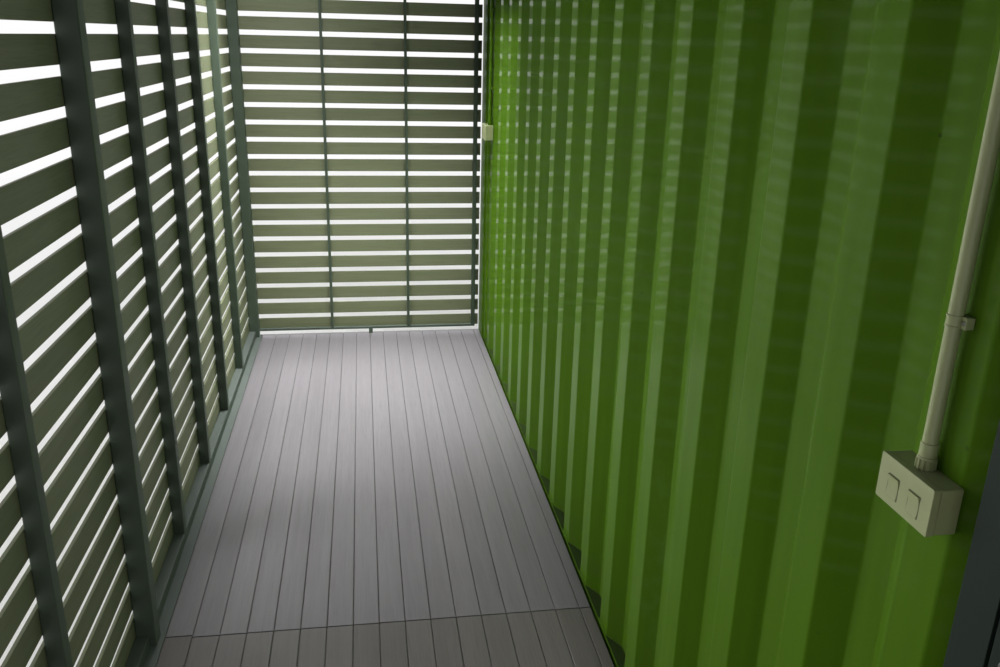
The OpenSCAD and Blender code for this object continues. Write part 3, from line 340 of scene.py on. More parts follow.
def board_wood(name, colour, pale, dark, roughness, along, grain=0.25, edge=0.0, **shader):
    """Boards with grain that runs along one axis."""
    stretch = tuple(GRAIN_STRETCH if i == along else 1.0 for i in range(3))
    p = Paint(name, colour, roughness, **shader)
    p.tone(0.09)
    fibre = p.noise(260, 4, 0.6, stretch)
    figure = p.noise(46, 4, 0.5, stretch)
    p.tint(p.ramp(figure, 0.42, 0.7, 0, 0.5), pale)
    p.tint(p.ramp(fibre, 0.5, 0.72, 0, 0.5), dark)
    p.tint(p.ramp(p.noise(1.7, 4), 0.5, 0.75, 0, 0.3), pale)
    p.gloss(p.noise(3, 3), 0.1)
    p.gloss(fibre, 0.12)
    p.bump(fibre, grain)
    p.bump(figure, grain)
    return p.done(edge)


def plastic(name, colour, roughness, top_dust_and_painted_light):
    """Moulded plastic with faint darker patches, and its top faces in a second colour: painted shade."""
    p = Paint(name, colour, roughness, IOR=1.5)
    p.vary(p.noise(7, 3), 0.94, 1.04)
    p.tint(p.ramp(p.noise(24, 4), 0.56, 0.75, 0, 0.3), tuple(0.8 * c for c in colour))
    # Top faces take a darker, greener colour: painted shade and a painted reflection of the green wall.
    p.tint(p.times(p.ramp(p.facing_up(), 0.5, 1), 0.55), top_dust_and_painted_light)
    p.gloss(p.noise(30, 2), 0.12)
    p.bump(p.noise(700, 1), 0.02)
    return p.done()


def bare_metal(name, colour, roughness, stretch=(1, 1, 1), edge=0.0):
    """Brushed or galvanised metal."""
    p = Paint(name, colour, roughness, metallic=0.85)
    p.vary(p.noise(26, 4), 0.8, 1.15)
    p.tint(p.ramp(p.noise(6, 4), 0.6, 0.75, 0, 0.35), tuple(0.5 * c for c in colour))
    p.gloss(p.noise(40, 3, stretch=stretch), 0.25)
    p.bump(p.noise(420, 2, stretch=stretch), 0.02)
    return p.done(edge)


def soft_dark(name, colour, roughness=0.6):
    """Rubber, the dirt that fills a joint, and the painted shade in a box's gaps."""
    p = Paint(name, colour, roughness)
    p.vary(p.noise(30, 3), 0.7, 1.4)
    p.bump(p.noise(300, 2), 0.05)
    return p.done()


def window_glass(name):
    """Clear glass with faint smears."""
    p = Paint(name, (0.86, 0.93, 0.92), 0.02, Transmission_Weight=1.0, IOR=1.45)
    p.gloss(p.ramp(p.noise(9, 4), 0.55, 0.8), 0.08)
    return p.done()


LEAF_GREEN = (0.05, 0.112, 0.0045)
# Pale bluish colour for the tops of the deck steel: dust and a painted sheen.
PALE_DUST_AND_SHEEN = (0.088, 0.096, 0.1)
DECK_GREEN = (0.042, 0.06, 0.04)
UNDERSIDE = (0.05, 0.075, 0.03)
BOARD_COLOURS = (0.108, 0.1, 0.108), (0.14, 0.132, 0.142), (0.064, 0.058, 0.063)
NEAR_BOARD_COLOURS = (0.086, 0.077, 0.073), (0.112, 0.101, 0.097), (0.05, 0.044, 0.042)
PLANK_COLOURS = (0.3, 0.18, 0.09), (0.38, 0.25, 0.13), (0.13, 0.07, 0.035)
SLAT_COLOURS = (0.115, 0.13, 0.07), (0.145, 0.16, 0.094), (0.066, 0.074, 0.04)
finish = {
    "container_paint": wall_paint("container_paint", LEAF_GREEN, edge=2.5),
    "wall_paint": wall_paint("wall_paint", LEAF_GREEN),
    "corner_paint": wall_paint("corner_paint", LEAF_GREEN, edge=2.5, coat=0.05),
    "inside_paint": steel_paint("inside_paint", (0.3, 0.32, 0.3), (0.34, 0.31, 0.26), 0.45, wave=0.4),
    "underside_paint": steel_paint("underside_paint", UNDERSIDE, (0.12, 0.11, 0.09), 0.5, peel=0.3,
                                   chip=(0.1, 0.05, 0.025)),
    "door_paint": steel_paint("door_paint", (0.013, 0.022, 0.016), (0.1, 0.11, 0.11), 0.36, edge=1.5),
    "deck_steel": steel_paint("deck_steel", DECK_GREEN, PALE_DUST_AND_SHEEN, 0.48, dust_and_sheen_share=0.6,
                              chip=(0.07, 0.075, 0.075), edge=1.5),
    "post_steel": steel_paint("post_steel", DECK_GREEN, PALE_DUST_AND_SHEEN, 0.48, dust_and_sheen_share=0.6,
                              chip=(0.06, 0.07, 0.065)),
    "roof_sheet": steel_paint("roof_sheet", (0.22, 0.25, 0.26), (0.2, 0.19, 0.16), 0.35, wave=0.4),
    "lock_gear": bare_metal("lock_gear", (0.27, 0.28, 0.275), 0.4, edge=1.5),
    "handle_metal": bare_metal("handle_metal", (0.5, 0.5, 0.5), 0.22, stretch=(1, 0.05, 1), edge=1),
    "screw_metal": bare_metal("screw_metal", (0.3, 0.3, 0.29), 0.35),
    # The plastic's colour is darker and greener than the pale plastic itself: painted shade and painted
    # green light bounced off the wall.
    "white_plastic": plastic("white_plastic", (0.27, 0.3, 0.145), 0.36, (0.16, 0.18, 0.09)),
    "deck_board": board_wood("deck_board", *BOARD_COLOURS, 0.4, along=1, grain=0.1, Coat_Weight=0.7,
                             Coat_Roughness=0.28),
    "deck_board_near": board_wood("deck_board_near", *NEAR_BOARD_COLOURS, 0.42, along=1, grain=0.1,
                                  Coat_Weight=0.5, Coat_Roughness=0.28),
    "slat": board_wood("slat", *SLAT_COLOURS, 0.5, along=1, grain=0.12),
    "slat_end": board_wood("slat_end", *SLAT_COLOURS, 0.5, along=0, grain=0.12),
    "floor_board": board_wood("floor_board", *PLANK_COLOURS, 0.45, along=1, edge=1),
    "glass": window_glass("glass"),
    "rubber": soft_dark("rubber", (0.012, 0.012, 0.012)),
    # Dark plastic for the box's seam and the rims around its rockers: painted shade in the gaps.
    "box_gap_shade": soft_dark("box_gap_shade", (0.085, 0.092, 0.048), 0.7),
    "joint_dirt": soft_dark("joint_dirt", (0.055, 0.05, 0.048), 0.8),
}

for entry in frame["record"]["subparts"]:
    node = nodes[entry["node"]]
    node.data.materials.clear()
    node.data.materials.append(finish[entry["material_slot"]])
# The corner posts keep their slot and get a paint with less shine
nodes["corner_posts"].data.materials[0] = finish["corner_paint"]


# Mesh making

ROUND_STEPS = 3
LEAST_R = 0.2
BLOCK_EDGE = 0.6
BEAD_WANDER = 0.2
BEAD_WAVE = 9


def arc(centre, radius, start, stop, steps):
    """Points on an arc, angles in degrees."""
    turns = [math.radians(start + (stop - start) * i / steps) for i in range(steps + 1)]
    return [(centre[0] + radius * math.cos(t), centre[1] + radius * math.sin(t)) for t in turns]


def round_rect(u0, v0, u1, v1, r):
    """Rectangle with rounded corners, counterclockwise."""
    r = min(r, (u1 - u0) / 2, (v1 - v0) / 2)
    hubs = (u1 - r, v0 + r), (u1 - r, v1 - r), (u0 + r, v1 - r), (u0 + r, v0 + r)
    points = []
    for quarter, hub in enumerate(hubs):
        points += arc(hub, r, 90 * quarter - 90, 90 * quarter, ROUND_STEPS)
    return points


AXES = {"x": (1, 2, 0), "y": (2, 0, 1), "z": (0, 1, 2)}


class Shape:
    """Closed solids, gathered into one mesh."""

    def __init__(self):
        self.verts = []
        self.faces = []
        self.tones = []
        self.paints = []

    def rings(self, rings, tone=0.0, paint=0):
        """A closed skin over rings of points that run counterclockwise about the way they are stacked."""
        first = len(self.verts)
        n = len(rings[0])
        for ring in rings:
            self.verts += ring
        self.tones += [tone] * (n * len(rings))
        made = []
        for k in range(len(rings) - 1):
            a, b = first + k * n, first + (k + 1) * n
            for i in range(n):
                j = (i + 1) % n
                made.append((a + i, a + j, b + j, b + i))
        last = first + (len(rings) - 1) * n
        made.append(tuple(reversed(range(first, first + n))))
        made.append(tuple(range(last, last + n)))
        self.faces += made
        self.paints += [paint] * len(made)

    def stack(self, outlines, axis, tone, paint=0):
        """Outlines stacked at places along an axis. Each lies in the two axes that follow that one."""
        iu, iv, iw = AXES[axis]
        rings = []
        for outline, w in outlines:
            ring = []
            for u, v in outline:
                p = [0.0, 0.0, 0.0]
                p[iu], p[iv], p[iw] = u, v, w
                ring.append(tuple(p))
            rings.append(ring)
        self.rings(rings, tone, paint)

    def prism(self, outline, axis, a, b, tone=0.0):
        self.stack([(outline, a), (outline, b)], axis, tone)

    def pad(self, rect, r, axis, a, b, edge, tone=0.0, paint=0):
        """A rounded rectangle carried from a to b, its rims rounded too."""
        u0, v0, u1, v1 = rect
        turns = [math.radians(90 * i / ROUND_STEPS) for i in range(ROUND_STEPS + 1)]
        stations = [(edge * (1 - math.sin(t)), a + edge * (1 - math.cos(t))) for t in turns]
        stations += [(inset, b - (w - a)) for inset, w in reversed(stations)]
        outlines = [(round_rect(u0 + i, v0 + i, u1 - i, v1 - i, max(r - i, LEAST_R)), w)
                    for i, w in stations]
        self.stack(outlines, axis, tone, paint)

    def block(self, low, high, r, tone=0.0):
        """A box with rounded corners along its longest side."""
        size = [b - a for a, b in zip(low, high)]
        axis = "xyz"[size.index(max(size))]
        iu, iv, iw = AXES[axis]
        self.pad((low[iu], low[iv], high[iu], high[iv]), r, axis, low[iw], high[iw], BLOCK_EDGE, tone)

    def border(self, rect, width, axis, a, b, edge):
        """Four strips just inside a rectangle."""
        u0, v0, u1, v1 = rect
        for u in (u0, u1 - width):
            self.pad((u, v0, u + width, v1), edge, axis, a, b, edge)
        for v in (v0, v1 - width):
            self.pad((u0 + width, v, u1 - width, v + width), edge, axis, a, b, edge)

    def lathe(self, outline, at, along, sides, paint=0):
        """An outline of (radius, height) pairs turned about a line through a point."""
        turn = Vector((0, 0, 1)).rotation_difference(Vector(along))
        rings = []
        for radius, height in outline:
            ring = []
            for i in range(sides):
                t = 2 * math.pi * i / sides
                p = turn @ Vector((radius * math.cos(t), radius * math.sin(t), height)) + Vector(at)
                ring.append(tuple(p))
            rings.append(ring)
        self.rings(rings, paint=paint)

    def screw(self, at, along, d, h, paint=0):
        """A pan head with a hollow in its middle."""
        r = d / 2
        head = [(r, -0.5), (r, h * 0.35), (r * 0.8, h * 0.8), (r * 0.45, h)]
        hollow = [(r * 0.3, h * 0.5), (0.1, h * 0.5)]
        self.lathe(head + hollow, at, along, sides=10, paint=paint)

    def bolt(self, at, along, across, h):
        """A hexagon head on a washer."""
        r = across / math.sqrt(3)
        self.lathe([(r * 1.35, -0.5), (r * 1.35, 1.6), (r * 1.25, 2)], at, along, sides=20)
        self.lathe([(r, 1), (r, h - 1), (r * 0.86, h)], at, along, sides=6)

    def bead(self, path, z, r, place):
        """A weld bead along a line of (depth, along) points, its size wandering a little."""
        turns = [math.pi * k / 3 for k in range(6)]
        rings = []
        for i, here in enumerate(path):
            run = (path[min(i + 1, len(path) - 1)] - path[max(i - 1, 0)]).normalized()
            out = Vector((run.y, -run.x))
            size = r * (1 + BEAD_WANDER * noise.noise(Vector((here.y / BEAD_WAVE, z, 0))))
            rings.append([place(*(here + out * size * math.cos(t)), z + size * math.sin(t)) for t in turns])
        self.rings(rings)

    def finish(self, name, paints, body="cabin", slot=None, stands_for=(), sharp=35):
        mesh = bpy.data.meshes.new(name)
        mesh.from_pydata([tuple(c * MM for c in v) for v in self.verts], [], self.faces)
        for paint in paints if isinstance(paints, (list, tuple)) else [paints]:
            mesh.materials.append(finish[paint])
        mesh.polygons.foreach_set("material_index", self.paints)
        tone = mesh.attributes.new("tone", "FLOAT", "POINT")
        tone.data.foreach_set("value", self.tones)
        made = bmesh.new()
        made.from_mesh(mesh)
        bmesh.ops.recalc_face_normals(made, faces=made.faces)
        made.to_mesh(mesh)
        made.free()
        mesh.shade_smooth()
        mesh.set_sharp_from_angle(angle=math.radians(sharp))
        mesh.update()
        piece = bpy.data.objects.new(name, mesh)
        scene.collection.objects.link(piece)
        evened = piece.modifiers.new("evened", "WEIGHTED_NORMAL")
        evened.keep_sharp = True
        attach(piece, body)
        if stands_for:
            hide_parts(*stands_for)


TONE_SPREAD = 2.2
TONE_SCALE = 7.31
TONE_SHIFT = Vector((3.1, 5.7, 1.9))


def tone_of(*place):
    """A steady value from -1 to 1 for a place, so that boards differ."""
    return max(-1.0, min(1.0, TONE_SPREAD * noise.noise(Vector(place) * TONE_SCALE + TONE_SHIFT)))


# Corrugated walls

SIDE_PITCH = 278
SIDE_FLAT_OUT = 84
SIDE_FLAT_IN = 72
SIDE_DEPTH = 36
SIDE_EDGE = 66
SIDE_LEAD = 15
SIDE_LEAST = 20
END_PITCH = 250
END_FLAT_OUT = 110
END_FLAT_IN = 104
WALL_T = 2
BEND_R = 14
BEND_STEPS = 6
WALL_STEP = 130
WALL_SHARP = 40
BEAD_R = 2.5
BEAD_IN = 0.4
BROAD_DENT = (420, 600)
SMALL_DENT = (130, 260)
BROAD_DEEP = 1.1
SMALL_DEEP = 0.5
DENT_BASE = 0.4
DENT_FADE = 40
CUT_MARGIN = 0.01


def side_line(half):
    """The side wall's line of (depth, place) corners, from one end to the other."""
    slope = (SIDE_PITCH - SIDE_FLAT_OUT - SIDE_FLAT_IN) / 2
    a = SIDE_FLAT_IN / 2
    y_flat = half - SIDE_EDGE
    last = SIDE_FLAT_OUT / 2 + SIDE_PITCH / 2
    ends = []
    while last + slope + SIDE_LEAD + SIDE_LEAST < y_flat:
        ends.append(last)
        last += SIDE_PITCH
    points = [(SIDE_DEPTH, a), (0, a + slope)]
    for k in range(1, len(ends)):
        c = k * SIDE_PITCH
        points += [(0, c - a - slope), (SIDE_DEPTH, c - a), (SIDE_DEPTH, c + a), (0, c + a + slope)]
    points += [(0, ends[-1]), (SIDE_DEPTH, ends[-1] + slope), (SIDE_DEPTH, y_flat - SIDE_LEAD), (0, y_flat),
               (0, half)]
    return [(d, -y) for d, y in reversed(points)] + points


def end_line(reach):
    """The end wall's line of (depth, place) corners, from one side to the other."""
    a = END_FLAT_IN / 2
    b = (END_PITCH - END_FLAT_OUT) / 2
    n = int((reach - b - END_FLAT_OUT / 2) / END_PITCH)
    depth = end_hi.y - end_lo.y - WALL_T
    points = [(0, -reach)]
    for i in range(-n, n + 1):
        c = i * END_PITCH
        points += [(0, c - b), (depth, c - a), (depth, c + a), (0, c + b)]
    return points + [(0, reach)]


def rolled(line, t):
    """The front and back of a sheet whose front follows the line, its corners rolled, point by point."""
    points = [Vector(p) for p in line]
    front, back = [points[0]], [points[0] + Vector((t, 0))]
    for before, here, after in zip(points, points[1:], points[2:]):
        u, w = (here - before).normalized(), (after - here).normalized()
        turn = math.atan2(u.x * w.y - u.y * w.x, u.dot(w))
        if abs(turn) < 1e-4:
            continue
        side = Vector((u.y, -u.x))
        bulge = math.copysign(1, turn)
        r_front = BEND_R + (t if bulge < 0 else 0)
        start = here - u * r_front * math.tan(abs(turn) / 2)
        hub = start - side * bulge * r_front
        for i in range(BEND_STEPS + 1):
            spoke = side * bulge
            spoke.rotate(Matrix.Rotation(turn * i / BEND_STEPS, 2))
            front.append(hub + spoke * r_front)
            back.append(hub + spoke * (r_front + bulge * t))
    front.append(points[-1])
    back.append(points[-1] + Vector((t, 0)))
    return front, back


def between(front, back, y0, y1):
    """The part of a sheet from one place to another, cut straight."""
    def at(points, y):
        for p, q in zip(points, points[1:]):
            if p.y <= y <= q.y:
                return p.lerp(q, (y - p.y) / max(q.y - p.y, 1e-6))
        return points[0] if y < points[0].y else points[-1]
    kept = [(f, b) for f, b in zip(front, back)
            if y0 + CUT_MARGIN < f.y < y1 - CUT_MARGIN and y0 < b.y < y1]
    cut = [(at(front, y), at(back, y)) for y in (y0, y1)]
    pairs = [cut[0]] + kept + [cut[1]]
    return [f for f, b in pairs], [b for f, b in pairs]


def dent(y, z):
    """How far a wall's skin is pressed in at a place, in millimetres."""
    broad = noise.noise(Vector((y / BROAD_DENT[0], z / BROAD_DENT[1], 0.4)))
    small = noise.noise(Vector((y / SMALL_DENT[0], z / SMALL_DENT[1], 7.7)))
    return max(0.0, BROAD_DEEP * broad + SMALL_DEEP * small + DENT_BASE)


beads = Shape()


def corrugated(name, line, y0, y1, z0, z1, place):
    """A corrugated wall with its rolled bends. The place maps (depth, along, z) to the row frame."""
    front, back = between(*rolled(line, WALL_T), y0, y1)
    levels = max(2, round((z1 - z0) / WALL_STEP))
    wall = Shape()
    rings = []
    for k in range(levels + 1):
        z = z0 + (z1 - z0) * k / levels
        fade = math.sin(math.pi * k / levels) ** 0.5
        ring = []
        for p in front + back[::-1]:
            end_fade = max(0.0, min(1.0, (p.y - y0) / DENT_FADE, (y1 - p.y) / DENT_FADE))
            ring.append(place(p.x + dent(p.y, z) * fade * end_fade, p.y, z))
        rings.append(ring)
    wall.rings(rings)
    n = len(front)
    for i in range(len(wall.faces) - 2):
        if (i % (2 * n)) >= n:
            wall.paints[i] = 1
    for z in (z0 + BEAD_R * BEAD_IN, z1 - BEAD_R * BEAD_IN):
        beads.bead(front, z, BEAD_R, place)
    wall.finish(name, ("wall_paint", "inside_paint"), slot="container_paint", stands_for=[name],
                sharp=WALL_SHARP)


def deck_side(depth, along, z):
    return (x_wall + depth, along, z)


def back_side(depth, along, z):
    return (back_hi.x - depth, along, z)


def end_side(depth, along, z):
    return ((end_lo.x + end_hi.x) / 2 + along, end_hi.y - depth, z)


line = side_line(wall_hi.y)
for name, (low, high), place in (("wall_deck_far", (wall_lo, wall_hi), deck_side),
                                 ("wall_deck_near", (near_lo, near_hi), deck_side),
                                 ("wall_over_door", (over_lo, over_hi), deck_side),
                                 ("wall_back", (back_lo, back_hi), back_side)):
    corrugated(name, line, low.y, high.y, low.z, high.z, place)
reach = (end_hi.x - end_lo.x) / 2
corrugated("wall_end", end_line(reach), -reach, reach, end_lo.z, end_hi.z, end_side)
beads.finish("weld_beads", "wall_paint", slot="container_paint")


# Deck boards, with dirt in the joints between them

WOOD_SHARP = 50
BOARD_W = 82
BOARD_GAP = 3
BOARD_ROUND = 2.2
BOARD_STEPS = 4
LEAST_BOARD = 1
FIRST_BOARD_SHIFT = 9
BOARD_JOINT = 1
EDGE_BEAM_W = 76
DIRT_DEEP = 3.2
DIRT_T = 6
DIRT_BITE = 0.5
EDGE_DIRT_RISE = 1


def lay_boards(name, y0, y1, far):
    """Boards side by side, with dirt in their joints. The first one's end lies further along."""
    boards = Shape()
    dirt = Shape()
    z0, z1 = boards_lo.z, boards_hi.z
    r = BOARD_ROUND
    dirt_hi = z1 - DIRT_DEEP
    x = boards_lo.x
    i = 0
    while x < boards_hi.x - LEAST_BOARD:
        x1 = min(x + BOARD_W, boards_hi.x)
        shift = FIRST_BOARD_SHIFT if i == 0 else 0
        ends = (y0 + shift, y1) if far else (y0, y1 + (shift - BOARD_JOINT))
        outline = ([(z0, x), (z1 - r, x)] + arc((z1 - r, x + r), r, 270, 360, BOARD_STEPS)[1:]
                   + arc((z1 - r, x1 - r), r, 0, 90, BOARD_STEPS) + [(z0, x1)])
        boards.prism(outline, "y", ends[0], ends[1], tone_of(i, far, 0.3))
        if x1 < boards_hi.x - LEAST_BOARD:
            dirt.block((x1 - DIRT_BITE, y0, dirt_hi - DIRT_T),
                       (x1 + BOARD_GAP + DIRT_BITE, y1, dirt_hi), DIRT_BITE)
        x += BOARD_W + BOARD_GAP
        i += 1
    dirt.block((beams_lo.x + EDGE_BEAM_W, y0, dirt_hi - DIRT_T),
               (boards_lo.x + DIRT_BITE, y1, dirt_hi + EDGE_DIRT_RISE), DIRT_BITE)
    dirt.finish(name + "_dirt", "joint_dirt", slot="deck_board")
    paint = "deck_board" if far else "deck_board_near"
    boards.finish(name, paint, slot="deck_board", stands_for=[name], sharp=WOOD_SHARP)


lay_boards("deck_boards_near", boards_near_lo.y, boards_near_hi.y, 0)
lay_boards("deck_boards_far", boards_lo.y, boards_hi.y, 1)


# Slats

SLAT_H = 73
SLAT_ROUND = 1.6
SLAT_EDGE = 0.6
SLAT_ROWS = 21
slat_rise = (slats_hi.z - slats_lo.z - SLAT_H) / (SLAT_ROWS - 1)
slat_levels = [slats_lo.z + row * slat_rise for row in range(SLAT_ROWS)]


def hang_slats(name, axis, across, a, b, seed, paint):
    """A screen's slats, from a to b along an axis, between two planes across it."""
    slats = Shape()
    for row, z in enumerate(slat_levels):
        if axis == "y":
            rect = (z, across[0], z + SLAT_H, across[1])
        else:
            rect = (across[0], z, across[1], z + SLAT_H)
        slats.pad(rect, SLAT_ROUND, axis, a, b, SLAT_EDGE, tone_of(row, seed, 0.8))
    slats.finish(name, paint, slot="slat", stands_for=[name], sharp=WOOD_SHARP)


side_across = (slats_lo.x, slats_hi.x)
end_across = (slats_end_lo.y, slats_end_hi.y)
hang_slats("slats_side_near", "y", side_across, slats_near_lo.y, slats_near_hi.y, 1, "slat")
hang_slats("slats_side_far", "y", side_across, slats_lo.y, slats_hi.y, 2, "slat")
hang_slats("slats_end", "x", end_across, slats_end_lo.x, slats_end_hi.x, 3, "slat_end")


# Steel of the deck and the screens, with its screws and bolts

ROUNDED = {"main_posts": 5, "screen_studs": 3, "screen_rails": 3, "deck_beams": 4, "deck_joists": 3,
           "roof_beams": 4}
for name, r in ROUNDED.items():
    steel = Shape()
    for low, high in solids(name):
        steel.block(low, high, r, tone_of(low.y, low.x, 1))
    steel.finish(name, "post_steel", slot="deck_steel", stands_for=[name])

SLAT_SCREW_IN = 15
SLAT_SCREW_D = 8
SLAT_SCREW_H = 2
screws = Shape()
for low, high in solids("main_posts") + solids("screen_studs"):
    for z in slat_levels:
        for rise in (SLAT_SCREW_IN, SLAT_H - SLAT_SCREW_IN):
            at = (slats_lo.x, (low.y + high.y) / 2, z + rise)
            screws.screw(at, (-1, 0, 0), SLAT_SCREW_D, SLAT_SCREW_H)
screws.finish("slat_screws", "screw_metal", slot="deck_steel")

FOOT_BOLT_IN = 20
FOOT_PLATE_T = 8
FOOT_BOLT_W = 15
FOOT_BOLT_H = 8
bolts = Shape()
for low, high in solids("deck_feet"):
    for y in (low.y + FOOT_BOLT_IN, high.y - FOOT_BOLT_IN):
        bolts.bolt(((low.x + high.x) / 2, y, FOOT_PLATE_T), (0, 0, 1), FOOT_BOLT_W, FOOT_BOLT_H)
bolts.finish("foot_bolts", "screw_metal", slot="deck_steel")


# Switch and socket boxes and their conduits

# The second paint is the painted shade in the box's gaps.
BOX_PAINTS = ("white_plastic", "box_gap_shade")
BOX_R = 3
COVER_T = 11
COVER_EDGE = 1.0
BASE_IN = 0.8
BASE_EDGE = 0.3
SEAM = 0.7
SEAM_DEEP = 2
ROCKER_RIM = 1.2
ROCKER_RIM_R = 1
ROCKER_RIM_PROUD = 0.2
ROCKER_RIM_EDGE = 0.1
ROCKER_STEPS = 8
ROCKER_PROUD = 0.3
ROCKER_OUT_TOP = 2.5
ROCKER_OUT_FOOT = 1
ROCKER_BACK = 1
SOCKET_REACH = 34
SOCKET_SIDES = 28
SOCKET_OUTLINE = [(20, -0.4), (20, 0.8), (18.5, 1.2), (17.5, 0.4), (0.1, 0.4)]


def front_rect(low, high, by):
    """The rectangle of a box's front, in from its sides."""
    return low.y + by, low.z + by, high.y - by, high.z - by


def surface_box(name, face_x):
    """A box with a cover on a base, a dark strip in the seam between them: painted shade."""
    low, high = cad_corners(name)
    seam_x = face_x + COVER_T + SEAM
    box = Shape()
    box.pad(front_rect(low, high, 0), BOX_R, "x", face_x, face_x + COVER_T, COVER_EDGE)
    box.pad(front_rect(low, high, BASE_IN), BOX_R, "x", seam_x, high.x, BASE_EDGE)
    box.pad(front_rect(low, high, SEAM_DEEP), BOX_R, "x", seam_x - SEAM_DEEP, seam_x + SEAM_DEEP, BASE_EDGE,
            paint=1)
    return box


def rocker(shape, low, high, face_x):
    """A rocker whose foot is pressed in, with a dark rim around it: painted shade of its gap."""
    shape.pad(front_rect(low, high, -ROCKER_RIM), ROCKER_RIM_R, "x", face_x - ROCKER_RIM_PROUD,
              face_x + ROCKER_BACK, ROCKER_RIM_EDGE, paint=1)
    front = []
    for i in range(ROCKER_STEPS + 1):
        t = 2 * i / ROCKER_STEPS - 1
        out = (ROCKER_OUT_TOP if t > 0 else ROCKER_OUT_FOOT) * t * t
        front.append((low.z + (high.z - low.z) * i / ROCKER_STEPS, face_x - ROCKER_PROUD - out))
    outline = front + [(high.z, face_x + ROCKER_BACK), (low.z, face_x + ROCKER_BACK)]
    shape.prism(outline, "y", low.y, high.y)


switch_face = cad_corners("switch_box")[0].x
box = surface_box("switch_box", switch_face)
box.finish("switch_box", BOX_PAINTS, slot="white_plastic", stands_for=["switch_box"])
rockers = Shape()
for low, high in solids("switch_rockers"):
    rocker(rockers, low, high, switch_face)
rockers.finish("switch_rockers", BOX_PAINTS, slot="white_plastic", stands_for=["switch_rockers"], sharp=45)
socket_lo, socket_hi = cad_corners("socket_box")
box = surface_box("socket_box", socket_lo.x)
socket_mid = (socket_lo + socket_hi) / 2
for side in (-1, 1):
    at = (socket_lo.x, socket_mid.y + side * SOCKET_REACH, socket_mid.z)
    box.lathe(SOCKET_OUTLINE, at, (-1, 0, 0), SOCKET_SIDES)
box.finish("socket_box", BOX_PAINTS, slot="white_plastic", stands_for=["socket_box"])

PIPE_SIDES = 36
PIPE_D = 20
SLEEVE_D = 23
NUT_D = 27
NUT_H = 17
NUT_RIBS = 12
NUT_RIB_DEEP = 2
NUT_CAP = 3
SLEEVE_H = 20
CLIP_RISE = 198
CLIP_PITCH = 420
CLIP_H = 16
CLIP_REACH = 18.5
CLIP_FOOT = 2
CLIP_FOOT_R = 1.5
CLIP_FOOT_EDGE = 0.8
CLIP_SCREW_IN = 4
CLIP_SCREW_D = 6
CLIP_SCREW_H = 1.6
NUT_GAP = 0.5


def ribbed_nut(x, y):
    """The nut's outline seen from above, its ribs and grooves in turn."""
    top, groove = NUT_D / 2, NUT_D / 2 - NUT_RIB_DEEP
    points = []
    for i in range(NUT_RIBS):
        for share, radius in ((0, top), (0.45, top), (0.6, groove), (0.85, groove)):
            t = 2 * math.pi * (i + share) / NUT_RIBS
            points.append((x + radius * math.cos(t), y + radius * math.sin(t)))
    return points


def clip_outline(r, h):
    """Half the section of a clip's ring, with a lip at each end."""
    lower = [(r - 0.9, 0), (r - 0.3, 0), (r, 0.8), (r, 2), (r - 0.8, 3)]
    return lower + [(radius, h - rise) for radius, rise in reversed(lower)]


def conduit(name, paint, slot):
    """A pipe in clips, with a sleeve and a ribbed nut where it enters its box."""
    low, high = cad_corners(name)
    x, y = x_wall - NUT_D / 2 - NUT_GAP, low.y + CLIP_REACH
    foot, head = (x, y, low.z), (x, y, low.z + NUT_H)
    up = (0, 0, 1)
    r, nut_r = SLEEVE_D / 2, NUT_D / 2
    pipe = Shape()
    pipe.prism(ribbed_nut(x, y), "z", low.z, low.z + NUT_H - NUT_CAP)
    cap = [(nut_r - 2, NUT_H - 4), (nut_r - 0.5, NUT_H - 2.6), (nut_r - 1.5, NUT_H)]
    pipe.lathe(cap, foot, up, PIPE_SIDES)
    sleeve = [(r - 0.6, 0), (r, 0.8), (r, SLEEVE_H - 0.8), (r - 0.8, SLEEVE_H)]
    pipe.lathe(sleeve, head, up, PIPE_SIDES)
    pipe.lathe([(PIPE_D / 2, 0), (PIPE_D / 2, high.z - low.z - NUT_H)], head, up, PIPE_SIDES)
    z = low.z + CLIP_RISE
    while z < high.z - 2 * CLIP_H:
        pipe.lathe(clip_outline(r, CLIP_H), (x, y, z), up, PIPE_SIDES)
        pipe.pad((y - CLIP_REACH, z, y + CLIP_FOOT, z + CLIP_H), CLIP_FOOT_R, "x", x + CLIP_FOOT, x_wall,
                 CLIP_FOOT_EDGE)
        at = (x + CLIP_FOOT, y - CLIP_REACH + CLIP_SCREW_IN, z + CLIP_H / 2)
        pipe.screw(at, (-1, 0, 0), CLIP_SCREW_D, CLIP_SCREW_H, paint=1)
        z += CLIP_PITCH
    pipe.finish(name, (paint, "screw_metal"), slot=slot, stands_for=[name])


conduit("switch_conduit", "white_plastic", "white_plastic")
conduit("socket_conduit", "wall_paint", "container_paint")


# Side door: seals, gasket and hinge screws

GLASS_BITE = 12
SEAL_W = 7
SEAL_T = 4.5
SEAL_EDGE = 1.5
SEAL_BITE = 0.5
seals = Shape()
opening = front_rect(glass_lo, glass_hi, GLASS_BITE)
seals.border(opening, SEAL_W, "x", glass_lo.x - SEAL_T, glass_lo.x + SEAL_BITE, SEAL_EDGE)
seals.border(opening, SEAL_W, "x", glass_hi.x - SEAL_BITE, glass_hi.x + SEAL_T, SEAL_EDGE)
seals.finish("side_door_seals", "rubber", body="side_door", slot="door_paint")

STOP_GAP = 5
STOP_W = 15
JAMB_W = 62
SILL_H = 25
GASKET_IN = 1
GASKET_NARROWER = 4
GASKET_BITE = 0.3
GASKET_EDGE = 1.2
gasket = Shape()
jamb = JAMB_W + GASKET_IN
around = (door_lo.y + jamb, door_lo.z + SILL_H, door_hi.y - jamb, door_hi.z - jamb)
gasket.border(around, STOP_W - GASKET_NARROWER, "x", leaf_hi.x + GASKET_IN,
              leaf_hi.x + STOP_GAP + GASKET_BITE, GASKET_EDGE)
gasket.finish("side_door_gasket", "rubber", slot="door_paint")

